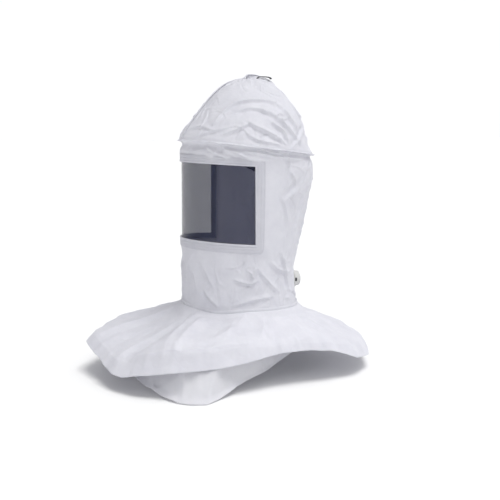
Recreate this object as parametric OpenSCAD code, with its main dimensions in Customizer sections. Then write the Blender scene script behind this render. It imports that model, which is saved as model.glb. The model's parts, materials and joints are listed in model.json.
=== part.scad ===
// Loose-fitting hood of a powered air respirator, with its head harness and air path.
// Origin: centre of the headband. The wearer faces -Y, the wearer's left is +X, +Z is up.

/* [Hood] */
// Height of the crown above the headband centre
crown_top = 165; // [160:1:170]
// Thickness of the fabric
cloth_t = 1.2; // [1:0.1:1.4]
// Height of the neck seam below the headband centre
neck_drop = 320; // [316:1:324]

/* [Visor] */
// Top edge of the clear window, from the headband centre
visor_top = -23; // [-26:1:-20]
// Bottom edge of the clear window
visor_bottom = -188; // [-192:1:-184]
// Where the window ends at each side, behind the front
visor_side_y = -18; // [-24:1:-12]
// Width of the sewn facing around the window
facing_w = 18; // [14:1:20]

/* [Headband] */
// Half width of the head opening
head_a = 81; // [78:1:82]
// Half length of the head opening
head_b = 101; // [98:1:102]
// Height of the headband strap
band_h = 24; // [20:1:26]
// Downward slope of the nape assembly
nape_angle = 28; // [26:1:29]

/* [Air path] */
// Radius of the duct's inner wall over the crown
duct_r = 123; // [122:1:123]
// Width of the duct
duct_w = 46; // [40:2:50]
// Height of the air inlet, below the headband centre
inlet_drop = 282; // [280:1:284]
// Outer radius of the inlet spigot
spigot_r = 14.5; // [14:0.5:15]

/* [Ratchet] */
// Number of pinion teeth
pinion_teeth = 14; // [14:1:14]
// Tooth module
tooth_m = 0.9; // [0.9:0.1:0.9]

/* [Hidden] */
$fn = 48;

// ---- Hood outline: level, half width, foremost y, rearmost y ----
body_rows = [
    [-neck_drop, 125, -131, 127], [-300, 124.5, -131, 122.5], [-275, 124.5, -131, 119],
    [-247, 125, -131, 118], [-192, 126, -131, 125], [-148, 126.5, -131, 134],
    [-104, 127, -131, 147], [-60, 127, -131, 156], [-20, 127, -131, 162], [0, 127, -131, 162]];
crown_rows = [
    [18, 129, -137, 164], [40, 124, -127, 151], [72, 113, -107, 136], [100, 98, -85, 122],
    [120, 83, -68, 111], [136, 65, -53, 98], [149, 45, -38, 86], [158, 27, -20, 77],
    [crown_top - 1, 10, -6, 68]];
// Tilt of the ridge seam: it sits higher at the front than at the back
ridge_z = 18;
ridge_slope = -0.115;
cols = 48;

function col(rows, k) = [for (r = rows) [r[0], r[k]]];
function row_at(rows, z) = [z, lookup(z, col(rows, 1)), lookup(z, col(rows, 2)), lookup(z, col(rows, 3))];
function oval(r, off, th) =
    let (yc = (r[2] + r[3]) / 2, b = (r[3] - r[2]) / 2)
    [(r[1] + off) * sin(th), yc - (b + off) * cos(th)];
function ridge_at(y) = ridge_z + ridge_slope * y;

// A point of the hood body at a level and an angle from the front. Above -60 the level bends
// to follow the ridge's tilt.
function body_point(z, off, th) =
    let (p = oval(row_at(body_rows, z), off, th), k = max(0, (z + 60) / 60))
    [p[0], p[1], z * (1 - k) + k * (ridge_at(p[1]) - 2.2)];
function crown_point(r, off, th) =
    let (p = oval(r, off, th), k = max(0, (100 - r[0]) / (100 - ridge_z)))
    [p[0], p[1], r[0] + k * ridge_slope * p[1]];

// Closed solid between an outer and an inner grid of points. "loop" joins the last column
// to the first, otherwise the two edges are closed with walls.
module shell(outer, inner, loop) {
    n = len(outer);
    m = len(outer[0]);
    all = [for (g = [outer, inner]) for (row = g) for (p = row) p];
    function id(k, i, j) = k * n * m + i * m + (j % m);
    last = loop ? m : m - 1;
    skin = [for (i = [0:n - 2]) for (j = [0:last - 1]) each [
        [id(0, i, j), id(0, i + 1, j), id(0, i, j + 1)],
        [id(0, i, j + 1), id(0, i + 1, j), id(0, i + 1, j + 1)],
        [id(1, i, j), id(1, i, j + 1), id(1, i + 1, j)],
        [id(1, i, j + 1), id(1, i + 1, j + 1), id(1, i + 1, j)]]];
    rims = [for (j = [0:last - 1]) each [
        [id(0, 0, j), id(0, 0, j + 1), id(1, 0, j)],
        [id(0, 0, j + 1), id(1, 0, j + 1), id(1, 0, j)],
        [id(0, n - 1, j), id(1, n - 1, j), id(0, n - 1, j + 1)],
        [id(0, n - 1, j + 1), id(1, n - 1, j), id(1, n - 1, j + 1)]]];
    sides = loop ? [] : [for (i = [0:n - 2]) each [
        [id(0, i, 0), id(1, i, 0), id(0, i + 1, 0)],
        [id(1, i, 0), id(1, i + 1, 0), id(0, i + 1, 0)],
        [id(0, i, m - 1), id(0, i + 1, m - 1), id(1, i, m - 1)],
        [id(1, i, m - 1), id(0, i + 1, m - 1), id(1, i + 1, m - 1)]]];
    polyhedron(all, concat(skin, rims, sides), convexity = 8);
}

function angles(from, to, n) = [for (j = [0:n]) from + (to - from) * j / n];
around = [for (j = [0:cols - 1]) 360 * j / cols];
body_levels = [-neck_drop + 0.3, -300, -275, -247, -192, -148, -104, -60, -40, -20, 0];

module body_skin(levels, th, off_in, off_out, loop) {
    shell([for (z = levels) [for (a = th) body_point(z, off_out, a)]],
        [for (z = levels) [for (a = th) body_point(z, off_in, a)]], loop);
}
// The window tilts back a little, as the ridge does
window_tilt = -0.065;
module window_cut(grow) multmatrix([[1, 0, 0, 0], [0, 1, 0, 0], [0, window_tilt, 1, 2]])
    translate([-200, -200, visor_bottom - grow])
        cube([400, 200 + visor_side_y + grow, visor_top - visor_bottom + 2 * grow]);
module crown_half(side) {
    th = angles(0.4, 179.6, 24);
    shell([for (r = crown_rows) [for (a = th) crown_point(r, 0, side * a)]],
        [for (r = crown_rows) [for (a = th) crown_point(r, -cloth_t, side * a)]], false);
}

// ---- Cape and bib: direction from the front (degrees, positive to the wearer's left),
// distance of the hem from the axis, level of the hem ----
cape_hem = [[-180, 300, -440], [-150, 285, -432], [-120, 240, -410], [-90, 214, -400],
    [-60, 262, -392], [-45, 300, -394], [-30, 322, -398], [-17, 340, -404], [0, 325, -420],
    [17.7, 330, -440], [28, 323, -427], [42, 304, -415], [52, 280, -412], [64, 244, -410], [81, 212, -402],
    [92, 204, -398], [108, 214, -398], [123, 243, -406], [135, 268, -432],
    [150, 288, -440], [180, 300, -440]];
bib_hem = [[-180, 212, -440], [-150, 205, -436], [-120, 178, -440], [-90, 168, -448],
    [-60, 225, -458], [-45, 268, -462], [-30, 284, -452], [-15, 272, -442], [0, 266, -442],
    [12, 272, -450], [30, 294, -460], [45, 319, -468.5], [50, 319, -468.5], [55, 309, -468.5],
    [60, 262, -464], [65, 228, -455], [72, 198, -448], [88, 162, -441], [98, 152, -431],
    [112, 157, -413], [125, 166, -412], [137, 190, -420], [160, 205, -432], [180, 212, -440]];
// How far the cloth has fallen, against how far out it has run
cape_fall = [[0, 0], [0.12, 0.2], [0.3, 0.36], [0.5, 0.49], [0.8, 0.66], [0.92, 0.8], [1, 1]];
bib_fall = [[0, 0], [0.1, 0.24], [0.3, 0.52], [0.5, 0.7], [0.7, 0.84], [0.9, 0.96], [1, 1]];
// At the left front the bib runs out to a fold, drops steeply and then lies on the floor
fold_fall = [[0, 0], [0.12, 0.12], [0.3, 0.26], [0.5, 0.39], [0.7, 0.53], [0.8, 0.65], [0.9, 0.93], [1, 1]];
fold_share = [[-180, 0], [16, 0], [34, 1], [74, 1], [100, 0], [180, 0]];
// Above it the cape's border turns down in a flap
flap_fall = [[0, 0], [0.12, 0.13], [0.3, 0.24], [0.5, 0.33], [0.7, 0.4], [0.8, 0.46], [0.92, 0.63], [1, 1]];
flap_share = [[-180, 0], [18, 0], [30, 1], [66, 1], [86, 0], [180, 0]];
drape_steps = [0, 0.12, 0.3, 0.5, 0.7, 0.8, 0.92, 1];
drape_cols = 72;
drape_angles = [for (j = [0:drape_cols - 1]) -180 + 360 * j / drape_cols];

function hem_r(h, th) = lookup(th, [for (p = h) [p[0], p[1]]]);
function hem_z(h, th) = lookup(th, [for (p = h) [p[0], p[2]]]);
function drape_point(h, fall, fold, share_at, start, drop, t, off, th) =
    let (c = oval(row_at(body_rows, -neck_drop), start, th),
        r0 = norm(c), r1 = hem_r(h, th), z1 = hem_z(h, th),
        share = lookup(th, share_at),
        fallen = lookup(t, fall) * (1 - share) + lookup(t, fold) * share,
        r = r0 + (r1 - r0) * t + off * 0.6,
        z = -neck_drop - drop + (z1 + neck_drop + drop) * fallen + off * 0.8)
    [r * sin(th), -r * cos(th), z];
function drape_rows(h, fall, fold, share_at, start, drop, off) =
    [for (t = drape_steps) [for (a = drape_angles) drape_point(h, fall, fold, share_at, start, drop, t, off, -a)]];
module drape(h, fall, fold, share_at, start, drop)
    shell(drape_rows(h, fall, fold, share_at, start, drop, cloth_t),
        drape_rows(h, fall, fold, share_at, start, drop, 0), true);

// ---- Flat outlines ----
function oval_points(a, b, from, to, n) = [for (t = angles(from, to, n)) [a * sin(t), -b * cos(t)]];
module oval_strap(a, b, t, h, from, to, n) {
    translate([0, 0, -h / 2]) linear_extrude(h)
        polygon(concat(oval_points(a + t, b + t, from, to, n), oval_points(a, b, to, from, n)));
}
module arch(a, h, t, w, from, to, n) {
    rotate([90, 0, 0]) translate([0, 0, -w / 2]) linear_extrude(w)
        polygon(concat([for (k = angles(from, to, n)) [(a + t) * cos(k), (h + t) * sin(k)]],
            [for (k = angles(to, from, n)) [a * cos(k), h * sin(k)]]));
}
module along_y(r, y0, y1) {
    translate([0, y0, 0]) rotate([-90, 0, 0]) cylinder(r = r, h = y1 - y0);
}
module ring_y(r_in, r_out, y0, y1) {
    difference() {
        along_y(r_out, y0, y1);
        along_y(r_in, y0 - 1, y1 + 1);
    }
}

// ================= Fabric =================
module hood_body() color("whitesmoke") difference() {
    body_skin(body_levels, around, -cloth_t, 0, true);
    window_cut(0);
    at_inlet() along_y(spigot_r + 0.6, 90, 140);
}
module crown_left() color("white") crown_half(1);
module crown_right() color("white") crown_half(-1);

module crown_seam_binding() color("gainsboro") {
    // One strip over the front slope, the top and the back slope, on the outside
    w = 3.2;
    front = [for (r = crown_rows) crown_point(r, 0.3, 0)];
    back = [for (i = [len(crown_rows) - 1:-1:0]) crown_point(crown_rows[i], 0.3, 180)];
    path = concat([for (i = [1:len(front) - 1]) front[i]], [for (i = [0:len(back) - 2]) back[i]]);
    shell([for (p = path) [for (x = [-w, 0, w]) [x, p[1] + sign(p[1] - 30) * 0.9, p[2] + 0.9]]],
        [for (p = path) [for (x = [w, 0, -w]) [-x, p[1] + sign(p[1] - 30) * 0.1, p[2] + 0.1]]], false);
}
module ridge_binding() color("white") {
    ridge = crown_rows[0];
    shell([for (z = [-1.6, 1.6]) [for (a = around) crown_point(ridge, 4, a) + [0, 0, z]]],
        [for (z = [-1.6, 1.6]) [for (a = around) crown_point(ridge, 0.3, a) + [0, 0, z]]], true);
}
module visor_film() color("slategray", 0.6) intersection() {
    body_skin([visor_bottom - 12, -192, -148, -104, -60, -40, visor_top + 12], around,
        -cloth_t - 1.1, -cloth_t - 0.2, true);
    window_cut(11);
}
module visor_facing() color("gainsboro") difference() {
    intersection() {
        body_skin([visor_bottom - facing_w, -192, -148, -104, -60, -40, -20, visor_top + facing_w], around,
            0.2, 1, true);
        window_cut(facing_w - 0.5);
    }
    window_cut(0);
}
module outer_cape() color("white") drape(cape_hem, cape_fall, flap_fall, flap_share, 0.4, 0.4);
module inner_bib() color("lavender") drape(bib_hem, bib_fall, fold_fall, fold_share, -6, 1);
module inlet_patch() color("gainsboro") difference() {
    intersection() {
        body_skin([-310, -300, -275, -254], around, 0.2, 1, true);
        at_inlet() along_y(25, 90, 140);
    }
    at_inlet() along_y(spigot_r + 0.6, 90, 140);
}
module hang_loop() color("black") translate([9, 52, crown_top - 3.6]) rotate([90, 0, 90])
    rotate([-4, 0, 0]) arch_strip();
module arch_strip() linear_extrude(8) polygon(concat(
    [for (k = angles(0, 180, 16)) [17 * cos(k), 2.4 + 5.2 * sin(k)]],
    [for (k = angles(180, 0, 16)) [15.6 * cos(k), 2.4 + 3.9 * sin(k)]]));

// ================= Head harness =================
pivot_y = 8;
band_t = 1.8;
arm_gap = 0.6;
arm_a = head_a + band_t + arm_gap;
arm_b = 118;
slot_half = 8;

module in_nape() translate([0, pivot_y, 0]) rotate([-nape_angle, 0, 0]) children();
module along_x(r, x0, x1) translate([x0, 0, 0]) rotate([0, 90, 0]) cylinder(r = r, h = x1 - x0);

module headband() color("dimgray") difference() {
    oval_strap(head_a, head_b, band_t, band_h, -112, 112, 56);
    translate([0, pivot_y, 0]) along_x(3, -120, 120);
    for (s = [-1, 1]) translate([0, -18, 4]) along_x(2, s > 0 ? 60 : -120, s > 0 ? 120 : -60);
    translate([0, 0, 4]) along_y(2, -120, -90);
}
module sweatband() color("darkslategray") difference() {
    oval_strap(head_a - 7, head_b - 7, 4.5, band_h - 2, -62, 62, 40);
    // Channel for the front strap
    translate([-9, -head_b, -20]) cube([18, 3.8, 40]);
}
module strap_hole(y, x0, x1) hull() for (z = [-slot_half, slot_half])
    translate([0, y, z + 4]) along_x(2.2, x0, x1);
module crown_strap_side() color("dimgray") difference() {
    union() {
        translate([0, -18, 0]) intersection() {
            arch(head_a - 3.6, 91, 1.5, 16, 0, 180, 40);
            translate([-100, -20, 14]) cube([200, 40, 100]);
        }
        for (s = [-1, 1]) strap_tail(s);
    }
    strap_hole(-18, -120, -60);
    strap_hole(-18, 60, 120);
    translate([0, -18, 80]) cylinder(r = 2.05, h = 30);
}
// The tail runs straight down inside the headband
module strap_tail(s) hull() {
    translate([s * (head_a - 3.7) - 0.7, -26, -8]) cube([1.4, 16, 1]);
    translate([s * (head_a - 3.8) - 0.7, -26, 15.3]) cube([1.4, 16, 1]);
}
module crown_strap_front() color("dimgray") difference() {
    union() {
        intersection() {
            translate([0, -18, 0]) rotate([0, 0, 90]) front_arch();
            translate([-20, -110, 14]) cube([40, 100, 100]);
        }
        front_tail();
    }
    hull() for (z = [-slot_half, slot_half]) translate([0, 0, z + 4]) along_y(2.2, -120, -80);
    translate([0, -18, 80]) cylinder(r = 2.05, h = 30);
}
module front_arch() arch(head_b - 19.8, 92.8, 1.5, 16, 84, 180, 24);
module front_tail() hull() {
    translate([-8, -head_b + 0.7, -8]) cube([16, 1.4, 1]);
    translate([-8, -head_b + 1.5, 15.3]) cube([16, 1.4, 1]);
}
module crown_rivet() color("silver") translate([0, -18, 0]) {
    translate([0, 0, 90.7]) cylinder(r = 2, h = 3.8);
    translate([0, 0, 94.5]) cylinder(r = 5, h = 1.5);
    translate([0, 0, 89.2]) cylinder(r = 5, h = 1.5);
}
// The pad follows the underside of both straps
module crown_pad() color("darkslategray") translate([0, -18, 0]) intersection() {
    translate([0, 0, 60]) linear_extrude(40) hull() for (x = [-24, 24]) for (y = [-17, 17])
        translate([x, y]) circle(r = 8, $fn = 24);
    arch(70, 84.6, 5.6, 60, 20, 160, 24);
    rotate([0, 0, 90]) arch(0.1, 0.1, 91.6, 70, 20, 160, 24);
    // Relief for the rivet's head
    difference() {
        translate([-50, -50, 50]) cube([100, 100, 50]);
        translate([0, 0, 88.9]) cylinder(r = 5.3, h = 10);
    }
}
module strap_studs() color("silver") {
    for (s = [-1, 1]) translate([0, -18, 4]) mirror([s < 0 ? 1 : 0, 0, 0]) {
        along_x(1.9, head_a - 4.5, head_a + 1.6);
        along_x(4, head_a - 6, head_a - 4.5);
    }
    translate([0, 0, 4]) {
        along_y(1.9, -head_b - 1.9, -head_b + 2.2);
        along_y(4, -head_b - 3.2, -head_b - 1.9);
    }
}
module temple_pins() color("silver") translate([0, pivot_y, 0]) for (s = [0, 1]) mirror([s, 0, 0]) {
    along_x(2.95, head_a - 1, arm_a + 2.4);
    along_x(5.5, head_a - 2.4, head_a - 1);
    along_x(5.5, arm_a + 2.4, arm_a + 3.8);
}
arm_end_x = 42;
module nape_arm(side) mirror([side < 0 ? 1 : 0, 0, 0]) difference() {
    union() {
        intersection() {
            oval_strap(arm_a, arm_b, 1.8, 16, 60, 175, 50);
            translate([arm_end_x, 0, -20]) cube([60, 130, 40]);
        }
        along_x(9, arm_a, arm_a + 1.8);
    }
    along_x(3, 60, 120);
}
module nape_arm_left() color("dimgray") in_nape() nape_arm(1);
module nape_arm_right() color("dimgray") in_nape() nape_arm(-1);

// Ratchet: the pinion turns about the local Y axis, one rack runs above it, one below
pitch_r = pinion_teeth * tooth_m / 2;
pitch = 180 * 2 * pitch_r / pinion_teeth * PI / 180;
gear_tip = pitch_r + 0.75;
gear_root = pitch_r - 0.95;
base_r = pitch_r * cos(20);
rack_add = 0.6;
backlash = 0.22;
house_y = 101;
gear_y0 = 104.2;
gear_y1 = 108.2;
house_half = 41.5;
house_h = 17;

function inv(phi) = (tan(phi) - phi * PI / 180) * 180 / PI;
function flank(r) = 90 / pinion_teeth - backlash / 4 / pitch_r * 180 / PI + inv(20)
    - (r > base_r ? inv(acos(base_r / r)) : 0);
function tooth(c) = concat(
    [for (r = [gear_root, base_r, (base_r + pitch_r) / 2, pitch_r, (pitch_r + gear_tip) / 2, gear_tip])
        r * [cos(c - flank(r)), sin(c - flank(r))]],
    [for (r = [gear_tip, (pitch_r + gear_tip) / 2, pitch_r, (base_r + pitch_r) / 2, base_r, gear_root])
        r * [cos(c + flank(r)), sin(c + flank(r))]]);
module pinion_outline() polygon([for (k = [0:pinion_teeth - 1]) each tooth(90 + 360 * k / pinion_teeth)]);
module rack_outline(n) {
    // A space between teeth sits at x = 0, over the pinion's topmost tooth
    half_tip = pitch / 4 - backlash / 4 - rack_add * tan(20);
    half_root = pitch / 4 - backlash / 4 + 1 * tan(20);
    polygon(concat([[-n * pitch, 1], [-n * pitch, 5], [n * pitch, 5], [n * pitch, 1]],
        [for (k = [n - 1:-1:-n]) let (c = (k + 0.5) * pitch)
            each [[c + half_root, 1], [c + half_tip, -rack_add],
                [c - half_tip, -rack_add], [c - half_root, 1]]]));
}
rack_reach = 26;
rack_n = 8;
module rack(side) translate([side * (rack_reach - rack_n * pitch + 1), 0, side * pitch_r])
    mirror([0, 0, side < 0 ? 1 : 0]) translate([0, gear_y1 - 0.3, 0]) rotate([90, 0, 0])
        linear_extrude(gear_y1 - gear_y0 - 0.6) translate([rack_shift(side), 0]) rack_outline(rack_n);
// Keeps a tooth space over the pinion tooth wherever the rack is cut
function rack_shift(side) = let (c = side * (rack_reach - rack_n * pitch + 1)) round(c / pitch) * pitch - c;
module rack_left() color("black") in_nape() rack(1);
module rack_right() color("black") in_nape() rack(-1);
module ratchet_pinion() color("black") in_nape() difference() {
    union() {
        translate([0, gear_y1, 0]) rotate([90, 0, 0]) linear_extrude(gear_y1 - gear_y0)
            pinion_outline();
        along_y(3.5, gear_y1, 114.4);
        along_y(2.5, 102.6, gear_y0);
    }
    along_y(1.5, 105.5, 120);
}
module ratchet_housing() color("dimgray") in_nape() difference() {
    translate([-house_half, house_y, -house_h]) cube([2 * house_half, 7.6, 2 * house_h]);
    translate([-house_half + 2, house_y + 2.6, -pitch_r - 5.3])
        cube([2 * house_half - 4, 7, 2 * pitch_r + 10.6]);
    along_y(2.55, 101.8, 107);
    for (x = [-33, 33]) for (z = [-14.3, 14.3]) translate([x, 0, z]) along_y(1.2, 103, 112);
}
module ratchet_cover() color("dimgray") in_nape() difference() {
    translate([-house_half, house_y + 7.8, -house_h]) cube([2 * house_half, 3.6, 2 * house_h]);
    along_y(3.55, 100, 120);
    for (x = [-33, 33]) for (z = [-14.3, 14.3]) translate([x, 0, z]) {
        along_y(1.6, 100, 120);
        along_y(2.9, 110.8, 120);
    }
    along_y(14, 111, 120);
}
module cover_screws() color("silver") in_nape() for (x = [-33, 33]) for (z = [-14.3, 14.3])
    translate([x, 0, z]) {
        along_y(1.2, 103.4, 110.8);
        difference() {
            along_y(2.7, 110.8, 112.2);
            translate([-2, 111.4, -0.4]) cube([4, 2, 0.8]);
        }
    }
knob_lobes = 10;
module ratchet_knob() color("dimgray") in_nape() difference() {
    translate([0, 112.8, 0]) rotate([-90, 0, 0]) difference() {
        cylinder(r = 17, h = 9);
        for (k = [0:knob_lobes - 1]) rotate(360 * k / knob_lobes) translate([20, 0, -1])
            cylinder(r = 4.6, h = 12);
        translate([0, 0, 7.8]) cylinder(r = 11, h = 2);
    }
    along_y(3.55, 112, 114.6);
    along_y(1.6, 112, 120);
    along_y(3.2, 117.5, 120.7);
}
module knob_screw() color("silver") in_nape() {
    along_y(1.5, 106, 117.6);
    difference() {
        along_y(3, 117.6, 119.4);
        translate([-2.4, 118.6, -0.4]) cube([4.8, 2, 0.8]);
    }
}
module detent_spring() color("silver") in_nape() ring_y(8.2, 11.5, 111.1, 111.8);
module nape_pad() color("darkslategray") in_nape() hull() {
    for (x = [-30, 30]) for (z = [-11, 11]) translate([x, 0, z]) along_y(6, 98.4, house_y - 0.2, $fn = 24);
    translate([0, 0, 0]) along_y(13, 96, 97, $fn = 32);
}

// ================= Air path =================
duct_cy = 10;
duct_cz = -5;
duct_depth = 12.5;
duct_wall = 1.5;
duct_front = 18;
tail_drop = 78;
// Sector of a ring about the X axis, from the rear horizontal up and over to the brow
module duct_arc(r_in, r_out, w, past) translate([0, duct_cy, duct_cz]) rotate([0, 90, 0]) rotate([0, 0, 90])
    rotate_extrude(angle = 180 - duct_front + past) translate([r_in, -w / 2]) square([r_out - r_in, w]);
module duct_tail(r_in, r_out, w) translate([-w / 2, duct_cy + r_in, duct_cz - tail_drop])
    cube([w, r_out - r_in, tail_drop]);
module duct_path(r_in, r_out, w) {
    duct_arc(r_in, r_out, w, 0);
    duct_tail(r_in, r_out, w);
}
// The hollow of the duct, a little longer at both ends
module duct_bore(r_in, r_out, w) {
    duct_arc(r_in, r_out, w, 1);
    translate([0, 0, -1]) duct_tail(r_in, r_out, w);
    translate([0, 0, 0.01]) duct_tail(r_in, r_out, w);
}
split_r = duct_r + duct_depth * 0.55;
module duct_lower() color("gray") difference() {
    duct_path(duct_r, split_r - 0.1, duct_w);
    duct_bore(duct_r + duct_wall, split_r + 2, duct_w - 2 * duct_wall);
}
module duct_cover() color("gray") difference() {
    duct_path(split_r + 0.1, duct_r + duct_depth, duct_w);
    duct_bore(split_r - 2, duct_r + duct_depth - duct_wall, duct_w - 2 * duct_wall);
}
tail_z = duct_cz - tail_drop;
hose_top = [0, 125, tail_z - 36];
module adapter_form(d, extra) hull() {
    translate([-duct_w / 2 + d, duct_cy + duct_r + d, tail_z - 4])
        cube([duct_w - 2 * d, duct_depth - 2 * d, 3.8 + extra]);
    translate(hose_top - [0, 0, extra]) rotate([-19, 0, 0]) cylinder(r = 12.5 - d, h = 4 + extra, $fn = 32);
}
module hose_adapter() color("gray") difference() {
    adapter_form(0, 0);
    adapter_form(duct_wall, 1);
}

// Corrugated hose: centre line from the inlet elbow up the back of the hood
hose_route = [[92, -253], [93, -235], [96, -215], [101, -192], [108, -168], [116, -145],
    [hose_top[1] - 0.2, hose_top[2] - 0.5]];
function route_at(t) = let (n = len(hose_route) - 1, s = min(n - 0.0001, t * n), i = floor(s), f = s - i,
        p0 = hose_route[max(0, i - 1)], p1 = hose_route[i],
        p2 = hose_route[i + 1], p3 = hose_route[min(n, i + 2)])
    0.5 * (2 * p1 + (p2 - p0) * f + (2 * p0 - 5 * p1 + 4 * p2 - p3) * f * f
        + (3 * p1 - p0 - 3 * p2 + p3) * f * f * f);
hose_rings = 46;
hose_sides = 12;
function hose_ring(i, r) = let (t = i / hose_rings, p = route_at(t), q = route_at(min(1, t + 0.01)),
        o = route_at(max(0, t - 0.01)), d = (q - o) / norm(q - o))
    [for (j = [0:hose_sides - 1]) let (a = 360 * j / hose_sides)
        [r * cos(a), p[0] + r * sin(a) * d[1], p[1] - r * sin(a) * d[0]]];
module inner_hose() color("silver") {
    outer = [for (i = [0:hose_rings])
        hose_ring(i, i == 0 || i == hose_rings ? 11.4 : (i % 2 == 0 ? 11.2 : 12.6))];
    inner = [for (i = [0:hose_rings]) hose_ring(i, 10)];
    shell(outer, inner, true);
}
elbow_y = 92;
module at_inlet() translate([0, 0, -inlet_drop]) children();
module inlet_elbow() color("gray") at_inlet() {
    translate([0, elbow_y + 16, 16]) rotate([0, 90, 0]) rotate([0, 0, -90])
        rotate_extrude(angle = 90) translate([16, 0]) elbow_ring();
    difference() {
        translate([0, elbow_y, 16]) cylinder(r = 12, h = 12.8);
        translate([0, elbow_y, 15]) cylinder(r = 10, h = 20);
    }
    ring_y(10, spigot_r + 1.5, elbow_y + 16, elbow_y + 19.8);
}
module elbow_ring() difference() {
    circle(r = 12);
    circle(r = 10);
}
module inlet_spigot() color("gray") at_inlet() difference() {
    union() {
        along_y(spigot_r, 112, 144);
        along_y(22, 112, 114);
    }
    along_y(12, 110, 146);
    ring_y(spigot_r - 1.2, spigot_r + 1, 129, 131);
    ring_y(spigot_r - 0.8, spigot_r + 1, 141.8, 143);
}
module inlet_gasket() color("black") at_inlet() ring_y(spigot_r + 0.1, 21.5, 114, 115.8);
module inlet_nut() color("gray") at_inlet() difference() {
    ring_y(spigot_r, 21, 123.8, 126.4);
    for (k = [0:7]) rotate([0, 45 * k + 22.5, 0]) translate([23.4, 120, 0])
        rotate([-90, 0, 0]) cylinder(r = 4, h = 8);
}
module inlet_o_ring() color("black") at_inlet() ring_y(spigot_r - 1.2, spigot_r, 129.05, 130.95);
collar_r = 17;
base_ring_r = 20.5;
module swivel_collar() color("lightgray") at_inlet() difference() {
    union() {
        along_y(base_ring_r, 126.6, 132.6);
        along_y(collar_r, 126.6, 141.5);
    }
    along_y(spigot_r + 0.05, 120, 146);
    for (s = [-1, 1]) translate([s * 19, 127.6, 0]) translate([-3.2, 0, -4]) cube([6.4, 4, 8]);
}
module latch_button(s) at_inlet() translate([s * 20 - 2, 127.9, -3.7]) cube([4, 3.4, 7.4]);
module latch_button_left() color("orange") latch_button(1);
module latch_button_right() color("orange") latch_button(-1);
module retaining_ring() color("silver") at_inlet() difference() {
    ring_y(spigot_r - 0.8, 16.6, 141.85, 142.95);
    translate([-1.5, 140, -20]) cube([3, 4, 8]);
}

// Brow nozzle: a hollow crescent behind the forehead seam, open below over the grille
nozzle_in = 109;
nozzle_out = 123;
nozzle_half = 42;
module air_nozzle() color("gray") difference() {
    translate([0, 0, 29])
        oval_strap(nozzle_in, nozzle_in, nozzle_out - nozzle_in, 22, -nozzle_half, nozzle_half, 32);
    translate([0, 0, 27]) oval_strap(nozzle_in + 1.5, nozzle_in + 1.5, nozzle_out - nozzle_in - 3, 23,
        -nozzle_half + 1.5, nozzle_half - 1.5, 30);
    translate([0, duct_cy, duct_cz]) rotate([duct_front, 0, 0]) translate([-duct_w / 2 + 1.5, -150, -20])
        cube([duct_w - 3, 60, 20]);
    // Seat for the mouth of the duct
    duct_seat();
    hoop_seat();
}
module duct_seat() duct_arc(duct_r - 0.4, duct_r + duct_depth + 0.4, duct_w + 0.8, 0.2);
module nozzle_grille() color("dimgray") translate([0, 0, 16.6]) difference() {
    oval_strap(nozzle_in, nozzle_in, nozzle_out - nozzle_in, 2, -nozzle_half, nozzle_half, 32);
    for (k = [-6:6]) rotate(k * 5.6) translate([0, -(nozzle_in + nozzle_out) / 2, 0])
        cube([5, 9, 6], center = true);
}
hoop_a = 121.5;
hoop_b = 142.5;
hoop_cy = 13.5;
module oval_disc(a, b, h) translate([0, 0, -h / 2]) linear_extrude(h)
    polygon([for (k = around) [a * sin(k), -b * cos(k)]]);
module hoop_ring(gap) translate([0, hoop_cy, ridge_at(hoop_cy) + 1.3])
    rotate([atan(ridge_slope), 0, 0]) difference() {
        oval_disc(hoop_a + 3 + gap, hoop_b + 3 + gap, 5 + 2 * gap);
        oval_disc(hoop_a - gap, hoop_b - gap, 8);
    }
module hood_hoop() color("silver") hoop_ring(0);
// Groove that the hoop snaps into
module hoop_seat() hoop_ring(0.2);
// Runs square out from the headband to the hoop
module hoop_arm(s) mirror([s < 0 ? 1 : 0, 0, 0]) difference() {
    translate([73.9, -46, 0]) rotate(-22) hull() {
        translate([0.4, -6, 2]) cube([3, 12, 9]);
        translate([31, -6, 23]) cube([2.2, 12, 5]);
    }
    hoop_seat();
}
module hoop_arm_left() color("gray") hoop_arm(1);
module hoop_arm_right() color("gray") hoop_arm(-1);
module brow_bracket() color("gray") translate([-14, -107.8, 9]) cube([28, 4.8, 11]);
module rear_bracket() color("gray") difference() {
    translate([-12, duct_cy + duct_r + duct_depth + 0.2, -4])
        cube([24, hoop_cy + hoop_b - duct_cy - duct_r - duct_depth - 0.8, 6]);
    hoop_seat();
}

hood_body();
crown_left();
crown_right();
crown_seam_binding();
ridge_binding();
visor_film();
visor_facing();
outer_cape();
inner_bib();
inlet_patch();
hang_loop();
headband();
sweatband();
crown_strap_side();
crown_strap_front();
crown_rivet();
crown_pad();
strap_studs();
temple_pins();
nape_arm_left();
nape_arm_right();
ratchet_housing();
ratchet_cover();
cover_screws();
ratchet_pinion();
ratchet_knob();
knob_screw();
detent_spring();
rack_left();
rack_right();
nape_pad();
duct_lower();
duct_cover();
hose_adapter();
inner_hose();
inlet_elbow();
inlet_spigot();
inlet_gasket();
inlet_nut();
inlet_o_ring();
swivel_collar();
latch_button_left();
latch_button_right();
retaining_ring();
air_nozzle();
nozzle_grille();
hood_hoop();
hoop_arm_left();
hoop_arm_right();
brow_bracket();
rear_bracket();
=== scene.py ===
import json
import math

import bpy
import numpy as np
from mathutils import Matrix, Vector, noise
from mathutils.bvhtree import BVHTree


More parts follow.
